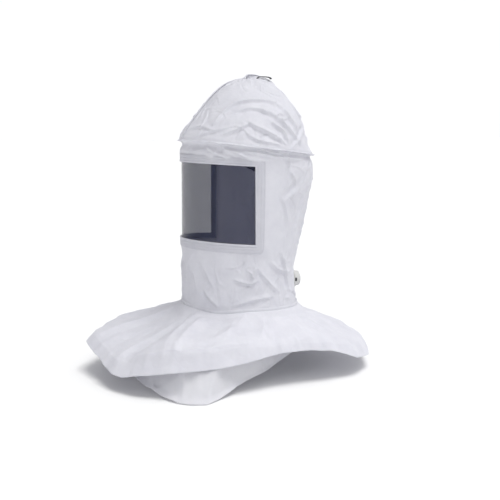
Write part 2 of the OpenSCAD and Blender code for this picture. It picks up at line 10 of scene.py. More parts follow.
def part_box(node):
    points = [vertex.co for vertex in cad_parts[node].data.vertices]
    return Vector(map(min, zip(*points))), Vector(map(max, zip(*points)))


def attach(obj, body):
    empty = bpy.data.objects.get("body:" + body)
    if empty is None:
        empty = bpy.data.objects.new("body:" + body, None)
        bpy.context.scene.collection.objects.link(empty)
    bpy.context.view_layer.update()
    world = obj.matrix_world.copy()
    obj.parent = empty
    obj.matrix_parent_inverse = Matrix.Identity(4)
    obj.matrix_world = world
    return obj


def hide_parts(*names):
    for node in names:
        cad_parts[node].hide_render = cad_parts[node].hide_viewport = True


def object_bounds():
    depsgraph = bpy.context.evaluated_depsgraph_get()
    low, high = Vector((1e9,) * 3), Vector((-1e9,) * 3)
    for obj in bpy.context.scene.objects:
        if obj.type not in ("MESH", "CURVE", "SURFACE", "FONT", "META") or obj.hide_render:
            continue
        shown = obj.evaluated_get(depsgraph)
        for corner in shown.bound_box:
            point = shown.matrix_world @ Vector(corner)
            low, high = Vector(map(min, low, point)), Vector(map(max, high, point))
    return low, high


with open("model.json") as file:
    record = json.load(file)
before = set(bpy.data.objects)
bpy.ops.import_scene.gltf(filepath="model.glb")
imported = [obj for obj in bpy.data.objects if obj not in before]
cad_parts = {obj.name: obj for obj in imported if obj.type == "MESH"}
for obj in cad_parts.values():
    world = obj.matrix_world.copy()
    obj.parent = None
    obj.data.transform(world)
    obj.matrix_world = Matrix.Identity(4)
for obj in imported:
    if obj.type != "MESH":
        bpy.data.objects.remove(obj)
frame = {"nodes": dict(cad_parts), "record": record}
cad_bounds = [list(corner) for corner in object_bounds()]
NODE = frame["nodes"]
MM = 0.001
UP = Vector((0, 0, 1))


# ---------------------------------------------------------------- camera, floor and light
CAMERA_AZIMUTH = 66.5      # degrees round the object, seen from the wearer's left front
CAMERA_DISTANCE = 1.95
CAMERA_HEIGHT = 0.054
CAMERA_PITCH = 7.71
CAMERA_YAW = 0.65          # the hood stands a little left of the middle
CAMERA_LENS = 63.8
FLOOR_GAP = 0.0015


def make_camera():
    data = bpy.data.cameras.new("camera")
    data.lens = CAMERA_LENS
    data.sensor_width = 36
    cam = bpy.data.objects.new("camera", data)
    bpy.context.scene.collection.objects.link(cam)
    a = math.radians(CAMERA_AZIMUTH)
    out = Vector((math.sin(a), -math.cos(a), 0))
    cam.location = out * CAMERA_DISTANCE + UP * CAMERA_HEIGHT
    turn = a - math.radians(CAMERA_YAW)
    pitch = math.radians(CAMERA_PITCH)
    look = Vector((-math.sin(turn), math.cos(turn), 0)) * math.cos(pitch) - UP * math.sin(pitch)
    cam.rotation_euler = look.to_track_quat("-Z", "Y").to_euler()
    bpy.context.scene.camera = cam


def make_stage():
    level = cad_bounds[0][2] - FLOOR_GAP
    mesh = bpy.data.meshes.new("floor")
    reach = 40
    mesh.from_pydata([(-reach, -reach, level), (reach, -reach, level), (reach, reach, level),
                      (-reach, reach, level)], [], [(0, 1, 2, 3)])
    floor = bpy.data.objects.new("floor", mesh)
    bpy.context.scene.collection.objects.link(floor)
    mat = bpy.data.materials.new("floor")
    mat.use_nodes = True
    shader = mat.node_tree.nodes["Principled BSDF"]
    shader.inputs["Base Color"].default_value = (0.93, 0.93, 0.93, 1)
    shader.inputs["Roughness"].default_value = 0.9
    shader.inputs["Specular IOR Level"].default_value = 0.1
    floor.data.materials.append(mat)


BACKDROP = 1.04
CEILING = 0.76
SUN = 1.75
FILL = 1.6
LEFT_SHARE = 0.12
SUN_SOFTNESS = 30


def make_light():
    """A white backdrop glowing round the horizon, a dimmer ceiling and one large soft lamp."""
    scene = bpy.context.scene
    scene.view_settings.view_transform = "Standard"
    scene.view_settings.look = "None"
    world = bpy.data.worlds.new("studio")
    world.use_nodes = True
    tree = world.node_tree
    coord = add(tree, "ShaderNodeTexCoord")
    split = add(tree, "ShaderNodeSeparateXYZ")
    tree.links.new(coord.outputs["Generated"], split.inputs["Vector"])
    high = ramp(tree, split.outputs["Z"], 0.16, 0.30, 0.0, 1.0)
    # The ceiling is dimmer on the picture's left
    aside = add(tree, "ShaderNodeVectorMath", operation="DOT_PRODUCT")
    aside.inputs[1].default_value = (-0.405, -0.904, 0.0)
    tree.links.new(coord.outputs["Generated"], aside.inputs[0])
    less = ramp(tree, aside.outputs["Value"], 0.20, 0.70, CEILING - BACKDROP, CEILING * LEFT_SHARE - BACKDROP)
    strength = add(tree, "ShaderNodeMath", operation="MULTIPLY_ADD")
    tree.links.new(less, strength.inputs[0])
    tree.links.new(high, strength.inputs[1])
    strength.inputs[2].default_value = BACKDROP
    background = tree.nodes["Background"]
    tree.links.new(strength.outputs[0], background.inputs["Strength"])
    background.inputs["Color"].default_value = (0.972, 0.978, 1.0, 1)
    scene.world = world
    data = bpy.data.lights.new("key", "SUN")
    data.energy = SUN
    data.angle = math.radians(SUN_SOFTNESS)
    data.color = (1.0, 0.995, 0.98)
    key = bpy.data.objects.new("key", data)
    scene.collection.objects.link(key)
    # High, from the front right of the picture
    key.rotation_euler = Vector((0.22, 0.13, 0.97)).to_track_quat("Z", "Y").to_euler()
    # A wide card low on the left lights the bib under the cape
    data = bpy.data.lights.new("fill", "AREA")
    data.shape = "RECTANGLE"
    data.size = 1.5
    data.size_y = 0.7
    data.energy = FILL
    data.color = (0.985, 0.99, 1.0)
    fill = bpy.data.objects.new("fill", data)
    scene.collection.objects.link(fill)
    fill.location = (0.55, -1.75, -0.10)
    aim = Vector((0.0, -0.1, -0.36)) - fill.location
    fill.rotation_euler = aim.to_track_quat("-Z", "Y").to_euler()


# ---------------------------------------------------------------- materials
def material(name, slot_class=None):
    mat = bpy.data.materials.new(name)
    mat.use_nodes = True
    return mat, mat.node_tree, mat.node_tree.nodes["Principled BSDF"]


def add(tree, kind, **values):
    node = tree.nodes.new(kind)
    for key, value in values.items():
        if key in node.inputs:
            node.inputs[key].default_value = value
        else:
            setattr(node, key, value)
    return node


def place(tree, stretch=(1, 1, 1)):
    """Object coordinates, stretched: pieces sit at the origin, so these are metres in the part's frame."""
    coord = add(tree, "ShaderNodeTexCoord")
    mapping = add(tree, "ShaderNodeMapping")
    mapping.inputs["Scale"].default_value = stretch
    tree.links.new(coord.outputs["Object"], mapping.inputs["Vector"])
    return mapping.outputs["Vector"]


def ramp(tree, source, low, high, a, b):
    node = add(tree, "ShaderNodeMapRange")
    node.inputs["From Min"].default_value = low
    node.inputs["From Max"].default_value = high
    node.inputs["To Min"].default_value = a
    node.inputs["To Max"].default_value = b
    tree.links.new(source, node.inputs["Value"])
    return node.outputs["Result"]


def mix_colour(tree, factor, dark, light):
    node = add(tree, "ShaderNodeMix", data_type="RGBA")
    node.inputs[6].default_value = (*dark, 1)
    node.inputs[7].default_value = (*light, 1)
    tree.links.new(factor, node.inputs[0])
    return node.outputs[2]


def bump(tree, height, strength, distance, under=None):
    node = add(tree, "ShaderNodeBump")
    node.inputs["Strength"].default_value = strength
    node.inputs["Distance"].default_value = distance
    tree.links.new(height, node.inputs["Height"])
    if under is not None:
        tree.links.new(under, node.inputs["Normal"])
    return node.outputs["Normal"]


# Each layer of cloth is a thin closed shell, so light passes this share twice
TRANSLUCENCE = 0.26


def spun_sheet(name, dark, light, crumple=1.0, through_share=TRANSLUCENCE):
    """White spunbonded sheet: fused random fibres, a faint mottle and fine crumples."""
    mat, tree, shader = material(name)
    where = place(tree)
    mottle = add(tree, "ShaderNodeTexNoise", Scale=26.0, Detail=4.0, Roughness=0.6)
    fibres = add(tree, "ShaderNodeTexNoise", Scale=620.0, Detail=5.0, Roughness=0.7, Distortion=2.2)
    creases = add(tree, "ShaderNodeTexVoronoi", Scale=46.0, feature="DISTANCE_TO_EDGE")
    warp = add(tree, "ShaderNodeTexNoise", Scale=30.0, Detail=3.0)
    push = add(tree, "ShaderNodeVectorMath", operation="MULTIPLY_ADD")
    push.inputs[1].default_value = (0.03, 0.03, 0.03)
    tree.links.new(where, warp.inputs["Vector"])
    tree.links.new(warp.outputs["Color"], push.inputs[0])
    tree.links.new(where, push.inputs[2])
    for node in (mottle, fibres):
        tree.links.new(where, node.inputs["Vector"])
    tree.links.new(push.outputs["Vector"], creases.inputs["Vector"])
    fine = ramp(tree, fibres.outputs["Fac"], 0.3, 0.7, 0.0, 1.0)
    tone = add(tree, "ShaderNodeMath", operation="MULTIPLY_ADD")
    tone.inputs[1].default_value = 0.25
    tree.links.new(fine, tone.inputs[0])
    tree.links.new(ramp(tree, mottle.outputs["Fac"], 0.3, 0.7, 0.0, 0.75), tone.inputs[2])
    tree.links.new(mix_colour(tree, tone.outputs[0], dark, light), shader.inputs["Base Color"])
    edge = ramp(tree, creases.outputs["Distance"], 0.0, 0.16, 0.0, 1.0)
    coarse = bump(tree, edge, 0.22 * crumple, 0.0012)
    tree.links.new(bump(tree, fibres.outputs["Fac"], 0.25, 0.0003, coarse), shader.inputs["Normal"])
    tree.links.new(ramp(tree, fine, 0, 1, 0.50, 0.66), shader.inputs["Roughness"])
    shader.inputs["Specular IOR Level"].default_value = 0.35
    shader.inputs["Sheen Weight"].default_value = 0.12
    shader.inputs["Sheen Roughness"].default_value = 0.45
    through = add(tree, "ShaderNodeBsdfTranslucent")
    both = add(tree, "ShaderNodeMixShader")
    both.inputs[0].default_value = through_share
    tree.links.new(mix_colour(tree, tone.outputs[0], dark, light), through.inputs["Color"])
    tree.links.new(shader.outputs[0], both.inputs[1])
    tree.links.new(through.outputs[0], both.inputs[2])
    tree.links.new(both.outputs[0], tree.nodes["Material Output"].inputs["Surface"])
    return mat


def smoke_film():
    """Thin flexible film with a smoke tint, a little uneven, glossy."""
    mat, tree, shader = material("smoke_film")
    where = place(tree, (9, 9, 1.2))
    waves = add(tree, "ShaderNodeTexNoise", Scale=2.2, Detail=2.0)
    haze = add(tree, "ShaderNodeTexNoise", Scale=60.0, Detail=3.0)
    tree.links.new(where, waves.inputs["Vector"])
    tree.links.new(place(tree), haze.inputs["Vector"])
    tint = mix_colour(tree, waves.outputs["Fac"], (0.019, 0.024, 0.060), (0.028, 0.033, 0.080))
    tree.links.new(tint, shader.inputs["Base Color"])
    tree.links.new(ramp(tree, haze.outputs["Fac"], 0.3, 0.7, 0.05, 0.10), shader.inputs["Roughness"])
    tree.links.new(bump(tree, waves.outputs["Fac"], 0.3, 0.002), shader.inputs["Normal"])
    shader.inputs["Alpha"].default_value = 0.40
    shader.inputs["IOR"].default_value = 1.45
    shader.inputs["Specular IOR Level"].default_value = 0.3
    mat.surface_render_method = "BLENDED"
    return mat


def moulded(name, dark, light, rough=0.45, grain=0.35, specular=0.45):
    """Moulded plastic: fine spark-eroded grain and a slight unevenness of colour."""
    mat, tree, shader = material(name)
    where = place(tree)
    grains = add(tree, "ShaderNodeTexNoise", Scale=1500.0, Detail=2.0)
    blotch = add(tree, "ShaderNodeTexNoise", Scale=40.0, Detail=4.0)
    for node in (grains, blotch):
        tree.links.new(where, node.inputs["Vector"])
    tree.links.new(mix_colour(tree, ramp(tree, blotch.outputs["Fac"], 0.35, 0.65, 0, 1), dark, light),
                   shader.inputs["Base Color"])
    tree.links.new(ramp(tree, blotch.outputs["Fac"], 0.3, 0.7, rough - 0.06, rough + 0.08),
                   shader.inputs["Roughness"])
    tree.links.new(bump(tree, grains.outputs["Fac"], grain, 0.0002), shader.inputs["Normal"])
    shader.inputs["Specular IOR Level"].default_value = specular
    return mat


def brushed_metal(name):
    mat, tree, shader = material(name)
    where = place(tree, (900, 900, 60))
    lines = add(tree, "ShaderNodeTexNoise", Scale=1.0, Detail=3.0)
    tree.links.new(where, lines.inputs["Vector"])
    tree.links.new(mix_colour(tree, lines.outputs["Fac"], (0.46, 0.46, 0.48), (0.72, 0.72, 0.73)),
                   shader.inputs["Base Color"])
    tree.links.new(ramp(tree, lines.outputs["Fac"], 0.3, 0.7, 0.24, 0.4), shader.inputs["Roughness"])
    tree.links.new(bump(tree, lines.outputs["Fac"], 0.15, 0.0002), shader.inputs["Normal"])
    shader.inputs["Metallic"].default_value = 1.0
    return mat


def woven(name, dark, light, threads=1100.0, depth=0.5):
    """Narrow webbing or pad cloth: two crossed sets of threads."""
    mat, tree, shader = material(name)
    where = place(tree)
    across = add(tree, "ShaderNodeTexWave", Scale=threads / 20, Distortion=0.6, bands_direction="DIAGONAL")
    along = add(tree, "ShaderNodeTexWave", Scale=threads / 20, Distortion=0.6, bands_direction="Z")
    fuzz = add(tree, "ShaderNodeTexNoise", Scale=900.0, Detail=3.0)
    for node in (across, along, fuzz):
        tree.links.new(where, node.inputs["Vector"])
    both = add(tree, "ShaderNodeMath", operation="MULTIPLY")
    tree.links.new(across.outputs["Fac"], both.inputs[0])
    tree.links.new(along.outputs["Fac"], both.inputs[1])
    tree.links.new(mix_colour(tree, both.outputs[0], dark, light), shader.inputs["Base Color"])
    under = bump(tree, both.outputs[0], depth, 0.0004)
    tree.links.new(bump(tree, fuzz.outputs["Fac"], 0.3, 0.0002, under), shader.inputs["Normal"])
    tree.links.new(ramp(tree, fuzz.outputs["Fac"], 0.3, 0.7, 0.75, 0.92), shader.inputs["Roughness"])
    shader.inputs["Sheen Weight"].default_value = 0.3
    return mat


MATERIALS = {
    "hood_fabric": lambda: spun_sheet("spun_sheet", (0.77, 0.77, 0.825), (0.85, 0.85, 0.895)),
    # Painted light: the bib is the hood's white sheet, painted brighter and letting more light through, to lift it out
    # of the cape's shade as a reflector card would
    "bib_fabric": lambda: spun_sheet("bib_sheet_painted_light", (0.90, 0.90, 0.93), (0.95, 0.95, 0.97), 1.0, 0.5),
    "facing_fabric": lambda: spun_sheet("facing_sheet", (0.69, 0.69, 0.75), (0.77, 0.77, 0.82), 0.5),
    "visor_film": smoke_film,
    "black_webbing": lambda: woven("black_webbing", (0.012, 0.012, 0.014), (0.05, 0.05, 0.055)),
    "strap_plastic": lambda: moulded("strap_plastic", (0.035, 0.035, 0.04), (0.06, 0.06, 0.065), 0.5),
    "pad_foam": lambda: woven("pad_cloth", (0.05, 0.053, 0.06), (0.12, 0.125, 0.135), 900.0),
    "metal_small": lambda: brushed_metal("bright_steel"),
    "ratchet_plastic": lambda: moulded("ratchet_plastic", (0.045, 0.046, 0.05), (0.07, 0.07, 0.075), 0.42),
    "gear_plastic": lambda: moulded("gear_plastic", (0.015, 0.015, 0.016), (0.03, 0.03, 0.032), 0.3, 0.15),
    "duct_plastic": lambda: moulded("duct_plastic", (0.36, 0.37, 0.39), (0.43, 0.44, 0.46), 0.48),
    "hose_rubber": lambda: moulded("hose_rubber", (0.10, 0.105, 0.115), (0.15, 0.155, 0.165), 0.6, 0.5, 0.3),
    "seal_rubber": lambda: moulded("seal_rubber", (0.012, 0.012, 0.012), (0.025, 0.025, 0.025), 0.65, 0.4, 0.3),
    "connector_plastic": lambda: moulded("connector_plastic", (0.60, 0.60, 0.585), (0.68, 0.68, 0.665), 0.42),
    "latch_plastic": lambda: moulded("latch_plastic", (0.02, 0.02, 0.022), (0.035, 0.035, 0.038), 0.4),
    "hoop_plastic": lambda: moulded("hoop_plastic", (0.50, 0.51, 0.53), (0.58, 0.59, 0.61), 0.22, 0.1, 0.5),
}
_made = {}


def finish_of(slot_name):
    if slot_name not in _made:
        _made[slot_name] = MATERIALS[slot_name]()
    return _made[slot_name]


# ---------------------------------------------------------------- mesh helpers
def piece(name, verts, faces, slot_name, body, replaces=(), smooth=True):
    mesh = bpy.data.meshes.new(name)
    mesh.from_pydata([tuple(v) for v in verts], [], faces)
    mesh.validate()
    if smooth:
        mesh.polygons.foreach_set("use_smooth", [True] * len(mesh.polygons))
    obj = bpy.data.objects.new(name, mesh)
    bpy.context.scene.collection.objects.link(obj)
    obj.data.materials.append(finish_of(slot_name))
    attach(obj, body)
    if replaces:
        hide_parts(*replaces)
    return obj


def thicken(obj, thickness):
    mod = obj.modifiers.new("thickness", "SOLIDIFY")
    mod.thickness = thickness
    mod.offset = -1
    return obj


def grid_faces(rows, cols, loop, keep=None):
    last = cols if loop else cols - 1
    faces = []
    for i in range(rows - 1):
        for j in range(last):
            if keep is None or keep(i, j):
                k = (j + 1) % cols
                faces.append((i * cols + j, i * cols + k, (i + 1) * cols + k, (i + 1) * cols + j))
    return faces


def normals(grid, loop):
    if loop:
        along = np.roll(grid, -1, 1) - np.roll(grid, 1, 1)
    else:
        along = np.gradient(grid, axis=1)
    up = np.gradient(grid, axis=0)
    n = np.cross(along, up)
    length = np.linalg.norm(n, axis=2, keepdims=True)
    return n / np.maximum(length, 1e-12)


def blur(field, times, loop):
    for _ in range(times):
        if loop:
            side = (np.roll(field, 1, 1) + np.roll(field, -1, 1)) / 2
        else:
            side = field.copy()
            side[:, 1:-1] = (field[:, 2:] + field[:, :-2]) / 2
        field = (field + side) / 2
        inner = (field[2:] + field[:-2]) / 2
        field[1:-1] = (field[1:-1] + inner) / 2
    return field


def points_of(node):
    mesh = NODE[node].data
    co = np.zeros(len(mesh.vertices) * 3)
    mesh.vertices.foreach_get("co", co)
    return co.reshape(-1, 3)


def tree_of(*nodes):
    verts, faces = [], []
    for n in nodes:
        mesh = NODE[n].data
        base = len(verts)
        verts += [v.co.copy() for v in mesh.vertices]
        faces += [tuple(base + k for k in p.vertices) for p in mesh.polygons]
    return BVHTree.FromPolygons(verts, faces)


def sampled(grid, fn):
    rows, cols, _ = grid.shape
    out = np.zeros((rows, cols))
    for i in range(rows):
        for j in range(cols):
            out[i, j] = fn(grid[i, j])
    return out


def ridged(grid, size, seed, stretch=(1, 1, 1), octaves=4):
    """Sharp-crested noise, about -1 to 1, with features of about that size in metres."""
    s = np.array(stretch) / size
    off = Vector((seed * 7.3, seed * 3.1, seed * 5.7))

    def one(p):
        q = Vector(p * s) + off
        return noise.ridged_multi_fractal(q, 0.9, 2.1, octaves, 1.0, 1.6)
    field = sampled(grid, one)
    return (field - field.mean()) / max(field.std(), 1e-9) * 0.5


def soft(grid, size, seed, stretch=(1, 1, 1)):
    s = np.array(stretch) / size
    off = Vector((seed * 4.1, seed * 9.7, seed * 2.3))
    return sampled(grid, lambda p: noise.noise(Vector(p * s) + off))


def facets(grid, size, seed, stretch=(1, 1, 1)):
    """Crumpled-paper facets: flat cells that meet in creases, about 0 to 1."""
    s = np.array(stretch) / size
    off = Vector((seed * 2.7, seed * 6.1, seed * 1.9))

    def one(p):
        q = Vector(p * s) + off
        q += 0.35 * noise.noise_vector(q * 0.8)
        d = noise.voronoi(q)[0]
        return d[1] - d[0]
    return np.minimum(sampled(grid, one), 1.0)


def distance_to(grid, path):
    """Distance of each grid point from a polyline, how far along it the nearest point is (0..1),
    and on which side of it, seen from outside."""
    best = np.full(grid.shape[:2], 1e9)
    along = np.zeros(grid.shape[:2])
    side = np.zeros(grid.shape[:2])
    path = [np.array(p, float) for p in path]
    lengths = [np.linalg.norm(b - a) for a, b in zip(path, path[1:])]
    total, run = sum(lengths), 0.0
    for a, b, length in zip(path, path[1:], lengths):
        d = (b - a) / length
        t = np.clip(((grid - a) @ d), 0, length)
        near = a + t[..., None] * d
        dist = np.linalg.norm(grid - near, axis=2)
        closer = dist < best
        best = np.where(closer, dist, best)
        along = np.where(closer, (run + t) / total, along)
        outward = np.array([near[..., 0].mean(), near[..., 1].mean(), 0.0])
        outward /= max(np.linalg.norm(outward), 1e-9)
        across = np.cross(d, outward)
        side = np.where(closer, np.sign((grid - near) @ across), side)
        run += length
    return best, along, side


FOLD_GAIN = 1.35


def crease(grid, path, height, width, valley=0.5, fade=0.45):
    """A crisp fold: a crest along the path, steep with a hollow on one side and sloping on the other."""
    dist, along, side = distance_to(grid, path)
    ends = np.clip(np.sin(np.pi * np.clip(along, 0.001, 0.999)), 0, 1) ** fade
    reach = np.where(side > 0, 0.75, 1.9) * width
    crest = np.clip(1 - dist / reach, 0, 1) ** 1.35
    hollow = np.exp(-((dist - 1.25 * width) / (0.8 * width)) ** 2) * (side > 0)
    return FOLD_GAIN * height * ends * (crest - valley * hollow)


def crumple(grid, count, seed, height, width, steps=(5, 20), slant=0.5, where=None):
    """Many short crisp creases at random places and directions, crests and valleys alike."""
    rng = np.random.default_rng(seed)
    rows, cols, _ = grid.shape
    lift = np.zeros((rows, cols))
    reach = 30
    for _ in range(count):
        i, j = int(rng.integers(2, rows - 2)), int(rng.integers(0, cols))
        keep, tall = rng.random(), rng.uniform(*height) * rng.choice((-0.7, 1.0, 1.0))
        size, wide = rng.uniform(*steps), rng.uniform(*width)
        turn, bend = rng.normal(slant, 0.75), rng.uniform(-0.5, 0.5)
        if where is not None and keep > where[i, j]:
            continue
        path = []
        for t in (-1.0, -0.35, 0.35, 1.0):
            di = math.sin(turn + bend * t) * size * t
            dj = math.cos(turn + bend * t) * size * t
            path.append(grid[int(np.clip(i + di, 0, rows - 1)), int(round(j + dj)) % cols])
        if min(np.linalg.norm(b - a) for a, b in zip(path, path[1:])) < 0.5 * MM:
            continue
        # Only the columns near the crease are touched
        span = np.arange(j - int(size) - reach, j + int(size) + reach + 1) % cols
        lift[:, span] += crease(grid[:, span], path, tall * MM, wide * MM, 0.4, 0.6)
    return lift


def fold_path(places):
    """Places in (degrees, mm) joined by a smooth line and put on the hood."""
    pts = [np.array(p, float) for p in places]
    pts = [2 * pts[0] - pts[1], *pts, 2 * pts[-1] - pts[-2]]
    out = []
    for a, b, c, d in zip(pts, pts[1:], pts[2:], pts[3:]):
        for f in (0.0, 0.34, 0.67):
            out.append(0.5 * (2 * b + (c - a) * f + (2 * a - 5 * b + 4 * c - d) * f * f
                              + (3 * b - a - 3 * c + d) * f ** 3))
    out.append(pts[-2])
    line = [mark(*p) for p in out]
    kept = [line[0]]
    for p in line[1:]:
        if np.linalg.norm(p - kept[-1]) > 2 * MM:
            kept.append(p)
    return kept


def smoothstep(x, low, high):
    t = np.clip((x - low) / (high - low), 0, 1)
    return t * t * (3 - 2 * t)


# ---------------------------------------------------------------- the hood's outline, read from the frame
film_lo, film_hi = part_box("visor_film")
FILM_LAP = 11 * MM                      # the film runs on behind the fabric by this much
WIN_SIDE_Y = film_hi.y - FILM_LAP
NECK_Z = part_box("hood_body")[0].z
FRONT_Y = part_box("hood_body")[0].y

body_pts = points_of("hood_body")
film_pts = points_of("visor_film")


def window_levels():
    """The window leans back: its edges' level at y = 0 and their slope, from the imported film."""
    front = film_pts[film_pts[:, 1] < film_lo.y + 4 * MM]
    side = film_pts[film_pts[:, 1] > film_hi.y - 2 * MM]
    run = front[:, 1].mean() - side[:, 1].mean()
    slope = (front[:, 2].max() - side[:, 2].max()) / run
    at_zero = side[:, 2].max() - slope * side[:, 1].mean()
    low_zero = side[:, 2].min() - slope * side[:, 1].mean()
    return at_zero - FILM_LAP, low_zero + FILM_LAP, slope


WIN_TOP, WIN_BOTTOM, LEAN = window_levels()


def lean(p):
    """Levels above the neck lean with the window; p is one point or an array of points."""
    share = smoothstep(p[..., 2], -300 * MM, -215 * MM)
    p = np.array(p, float)
    p[..., 2] += share * LEAN * p[..., 1]
    return p


CAD_LEVELS = np.array([-300, -275, -247, -192, -148, -104, -60]) * MM


def read_levels():
    """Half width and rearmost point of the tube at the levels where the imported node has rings."""
    rings = [body_pts[np.abs(body_pts[:, 2] - z) < 0.6 * MM] for z in [NECK_Z, *CAD_LEVELS]]
    rings.append(body_pts[body_pts[:, 2] > body_pts[:, 2].max() - 40 * MM])
    half = [np.abs(ring[:, 0]).max() for ring in rings]
    back = [ring[:, 1].max() for ring in rings]
    return np.array([NECK_Z, *CAD_LEVELS, 0.0]), np.array(half), np.array(back)


LEVELS, HALF_W, BACK_Y = read_levels()


def ring_size(z):
    a = np.interp(z, LEVELS, HALF_W)
    back = np.interp(z, LEVELS, BACK_Y)
    return a, (FRONT_Y + back) / 2, (back - FRONT_Y) / 2


def window_angle(z):
    a, yc, b = ring_size(z)
    return np.arccos(np.clip((yc - WIN_SIDE_Y) / b, -1, 1))


ridge_pts = points_of("ridge_binding")
RIDGE_SLOPE, RIDGE_Z = np.polyfit(ridge_pts[:, 1], ridge_pts[:, 2], 1)


def ridge_at(y):
    return RIDGE_Z + RIDGE_SLOPE * y


def on_ring(z, angle, out=0.0):
    """Point of the hood's tube at a level and an angle from the front, positive to the wearer's left."""
    a, yc, b = ring_size(z)
    return np.array([(a + out) * np.sin(angle), yc - (b + out) * np.cos(angle), z + np.zeros_like(angle)])


def mark(angle, z):
    """A place on the hood, given in degrees from the front and millimetres of height."""
    t = math.radians(angle)
    if z > 18:
        return crown_place(t, z * MM)
    p = on_ring(min(z, 0) * MM, np.array(t))
    return np.array([p[0], p[1], z * MM])


def back_bulge(angle, z):
    """The cloth at the back hangs full just under the ridge."""
    turn = np.abs((np.degrees(angle) + 180) % 360 - 180)
    low = smoothstep(z, -96 * MM, -40 * MM) * (1 - smoothstep(z, -22 * MM, 16 * MM))
    return 8.5 * MM * smoothstep(turn, 96, 132) * low


def rim_pull(angle):
    """At the front the ridge stands out less, because the cloth hangs forward over the brow."""
    return -3.2 * MM * np.clip(np.cos(angle), 0, 1) ** 2


def neck_dip(angle):
    """The neck seam sags at the wearer's left front and at the back."""
    turn = (np.degrees(angle) + 180) % 360 - 180
    return -MM * (9.0 * np.exp(-((turn - 46) / 26) ** 2) + 8.0 * np.exp(-((np.abs(turn) - 150) / 46) ** 2)
                  + 4.0 * np.exp(-((turn + 60) / 30) ** 2) + 3.0 * np.exp(-((turn - 95) / 25) ** 2))


# ---------------------------------------------------------------- crown
CROWN_HEART = np.array([0.0, 0.014, 0.020])
crown_tree = tree_of("crown_left", "crown_right")
CROWN_COLS = 432
CROWN_ROWS = 104


def crown_base():
    """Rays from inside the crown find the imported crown's surface, row by row from the ridge to the top."""
    lo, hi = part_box("ridge_binding")
    inset = 4.4 * MM
    a = (hi.x - lo.x) / 2 - inset
    yc, b = (lo.y + hi.y) / 2, (hi.y - lo.y) / 2 - inset
    grid = np.zeros((CROWN_ROWS, CROWN_COLS, 3))
    reach = np.zeros((CROWN_ROWS, CROWN_COLS))
    dirs = np.zeros((CROWN_ROWS, CROWN_COLS, 3))
    for j in range(CROWN_COLS):
        t = 2 * math.pi * j / CROWN_COLS
        pull = float(rim_pull(np.array(t)))
        x, y = (a + pull) * math.sin(t), yc - (b + pull) * math.cos(t)
        rim = np.array([x, y, ridge_at(y) + 0.4 * MM]) - CROWN_HEART
        rim_dir = rim / np.linalg.norm(rim)
        tilt0 = math.asin(rim_dir[2])
        flat = rim_dir[:2] / np.linalg.norm(rim_dir[:2])
        for i in range(CROWN_ROWS):
            s = i / (CROWN_ROWS - 1) * 0.985
            tilt = tilt0 + (math.pi / 2 - tilt0) * s
            d = np.array([flat[0] * math.cos(tilt), flat[1] * math.cos(tilt), math.sin(tilt)])
            dirs[i, j] = d
            if i == 0:
                reach[i, j] = np.linalg.norm(rim)
                continue
            start = Vector(CROWN_HEART + d * 0.35)
            hit = crown_tree.ray_cast(start, Vector(-d))
            reach[i, j] = 0.35 - hit[3] if hit[0] is not None else reach[i - 1, j]
    edge = reach[0].copy()
    reach = blur(reach, 14, True)
    weight = smoothstep(np.arange(CROWN_ROWS) / 5.0, 0, 1)[:, None]
    reach = edge[None] * (1 - weight) + reach * weight
    return CROWN_HEART + dirs * reach[..., None]


crown_grid = crown_base()


def crown_place(angle, z):
    j = int(round(angle / (2 * math.pi) * CROWN_COLS)) % CROWN_COLS
    column = crown_grid[:, j]
    i = int(np.argmin(np.abs(column[:, 2] - z)))
    return column[i]


# Folds read off the wearer's left side; the other side has its own.
# Each is its places as (degrees, mm), its height in mm and its width in mm.
CROWN_FOLDS = [
    ([(37, 61), (46, 94), (58, 111), (79, 117), (100, 114), (116, 102)], 3.0, 5.5),
    ([(71, 72), (79, 61), (95, 42), (108, 20)], 3.6, 5.0),
    ([(94, 72), (105, 52), (109, 23)], 3.2, 5.0),
    ([(144, 61), (123, 33), (110, 18)], 3.4, 6.0),
    ([(70, 47), (80, 34), (103, 21)], 2.6, 4.5),
    ([(51, 45), (67, 61), (74, 70)], 2.8, 5.0),
    ([(117, 100), (123, 71), (129, 41)], 3.2, 6.0),
    ([(84, 99), (101, 83), (116, 50), (125, 22)], 3.0, 6.0),
    ([(4, 54), (23, 62), (44, 50)], 2.2, 5.0),
    ([(23, 40), (38, 52), (53, 58)], 2.0, 4.5),
    ([(58, 91), (76, 99), (94, 91)], 2.4, 5.0),
    ([(5, 75), (3, 100), (9, 121)], 2.8, 4.0),
    ([(13, 81), (8, 100), (14, 118)], 2.0, 4.0),
    ([(139, 120), (150, 80), (148, 34)], 3.0, 7.0),
    ([(150, 30), (138, 60), (132, 96)], 2.6, 6.0),
    ([(172, 118), (168, 70), (176, 26)], 2.6, 7.0),
    ([(190, 24), (204, 66), (230, 110)], 3.0, 6.0),
    ([(214, 20), (232, 46), (250, 84)], 3.4, 6.0),
    ([(226, 22), (216, 52), (206, 92)], 2.6, 6.0),
    ([(250, 22), (268, 50), (290, 74)], 2.8, 5.0),
    ([(300, 30), (318, 62), (338, 96)], 2.6, 5.0),
    ([(246, 116), (270, 122), (300, 114), (330, 96)], 2.8, 5.5),
    ([(262, 30), (252, 62), (256, 96)], 2.6, 5.5),
    ([(340, 46), (318, 42), (300, 52)], 2.0, 4.5),
]


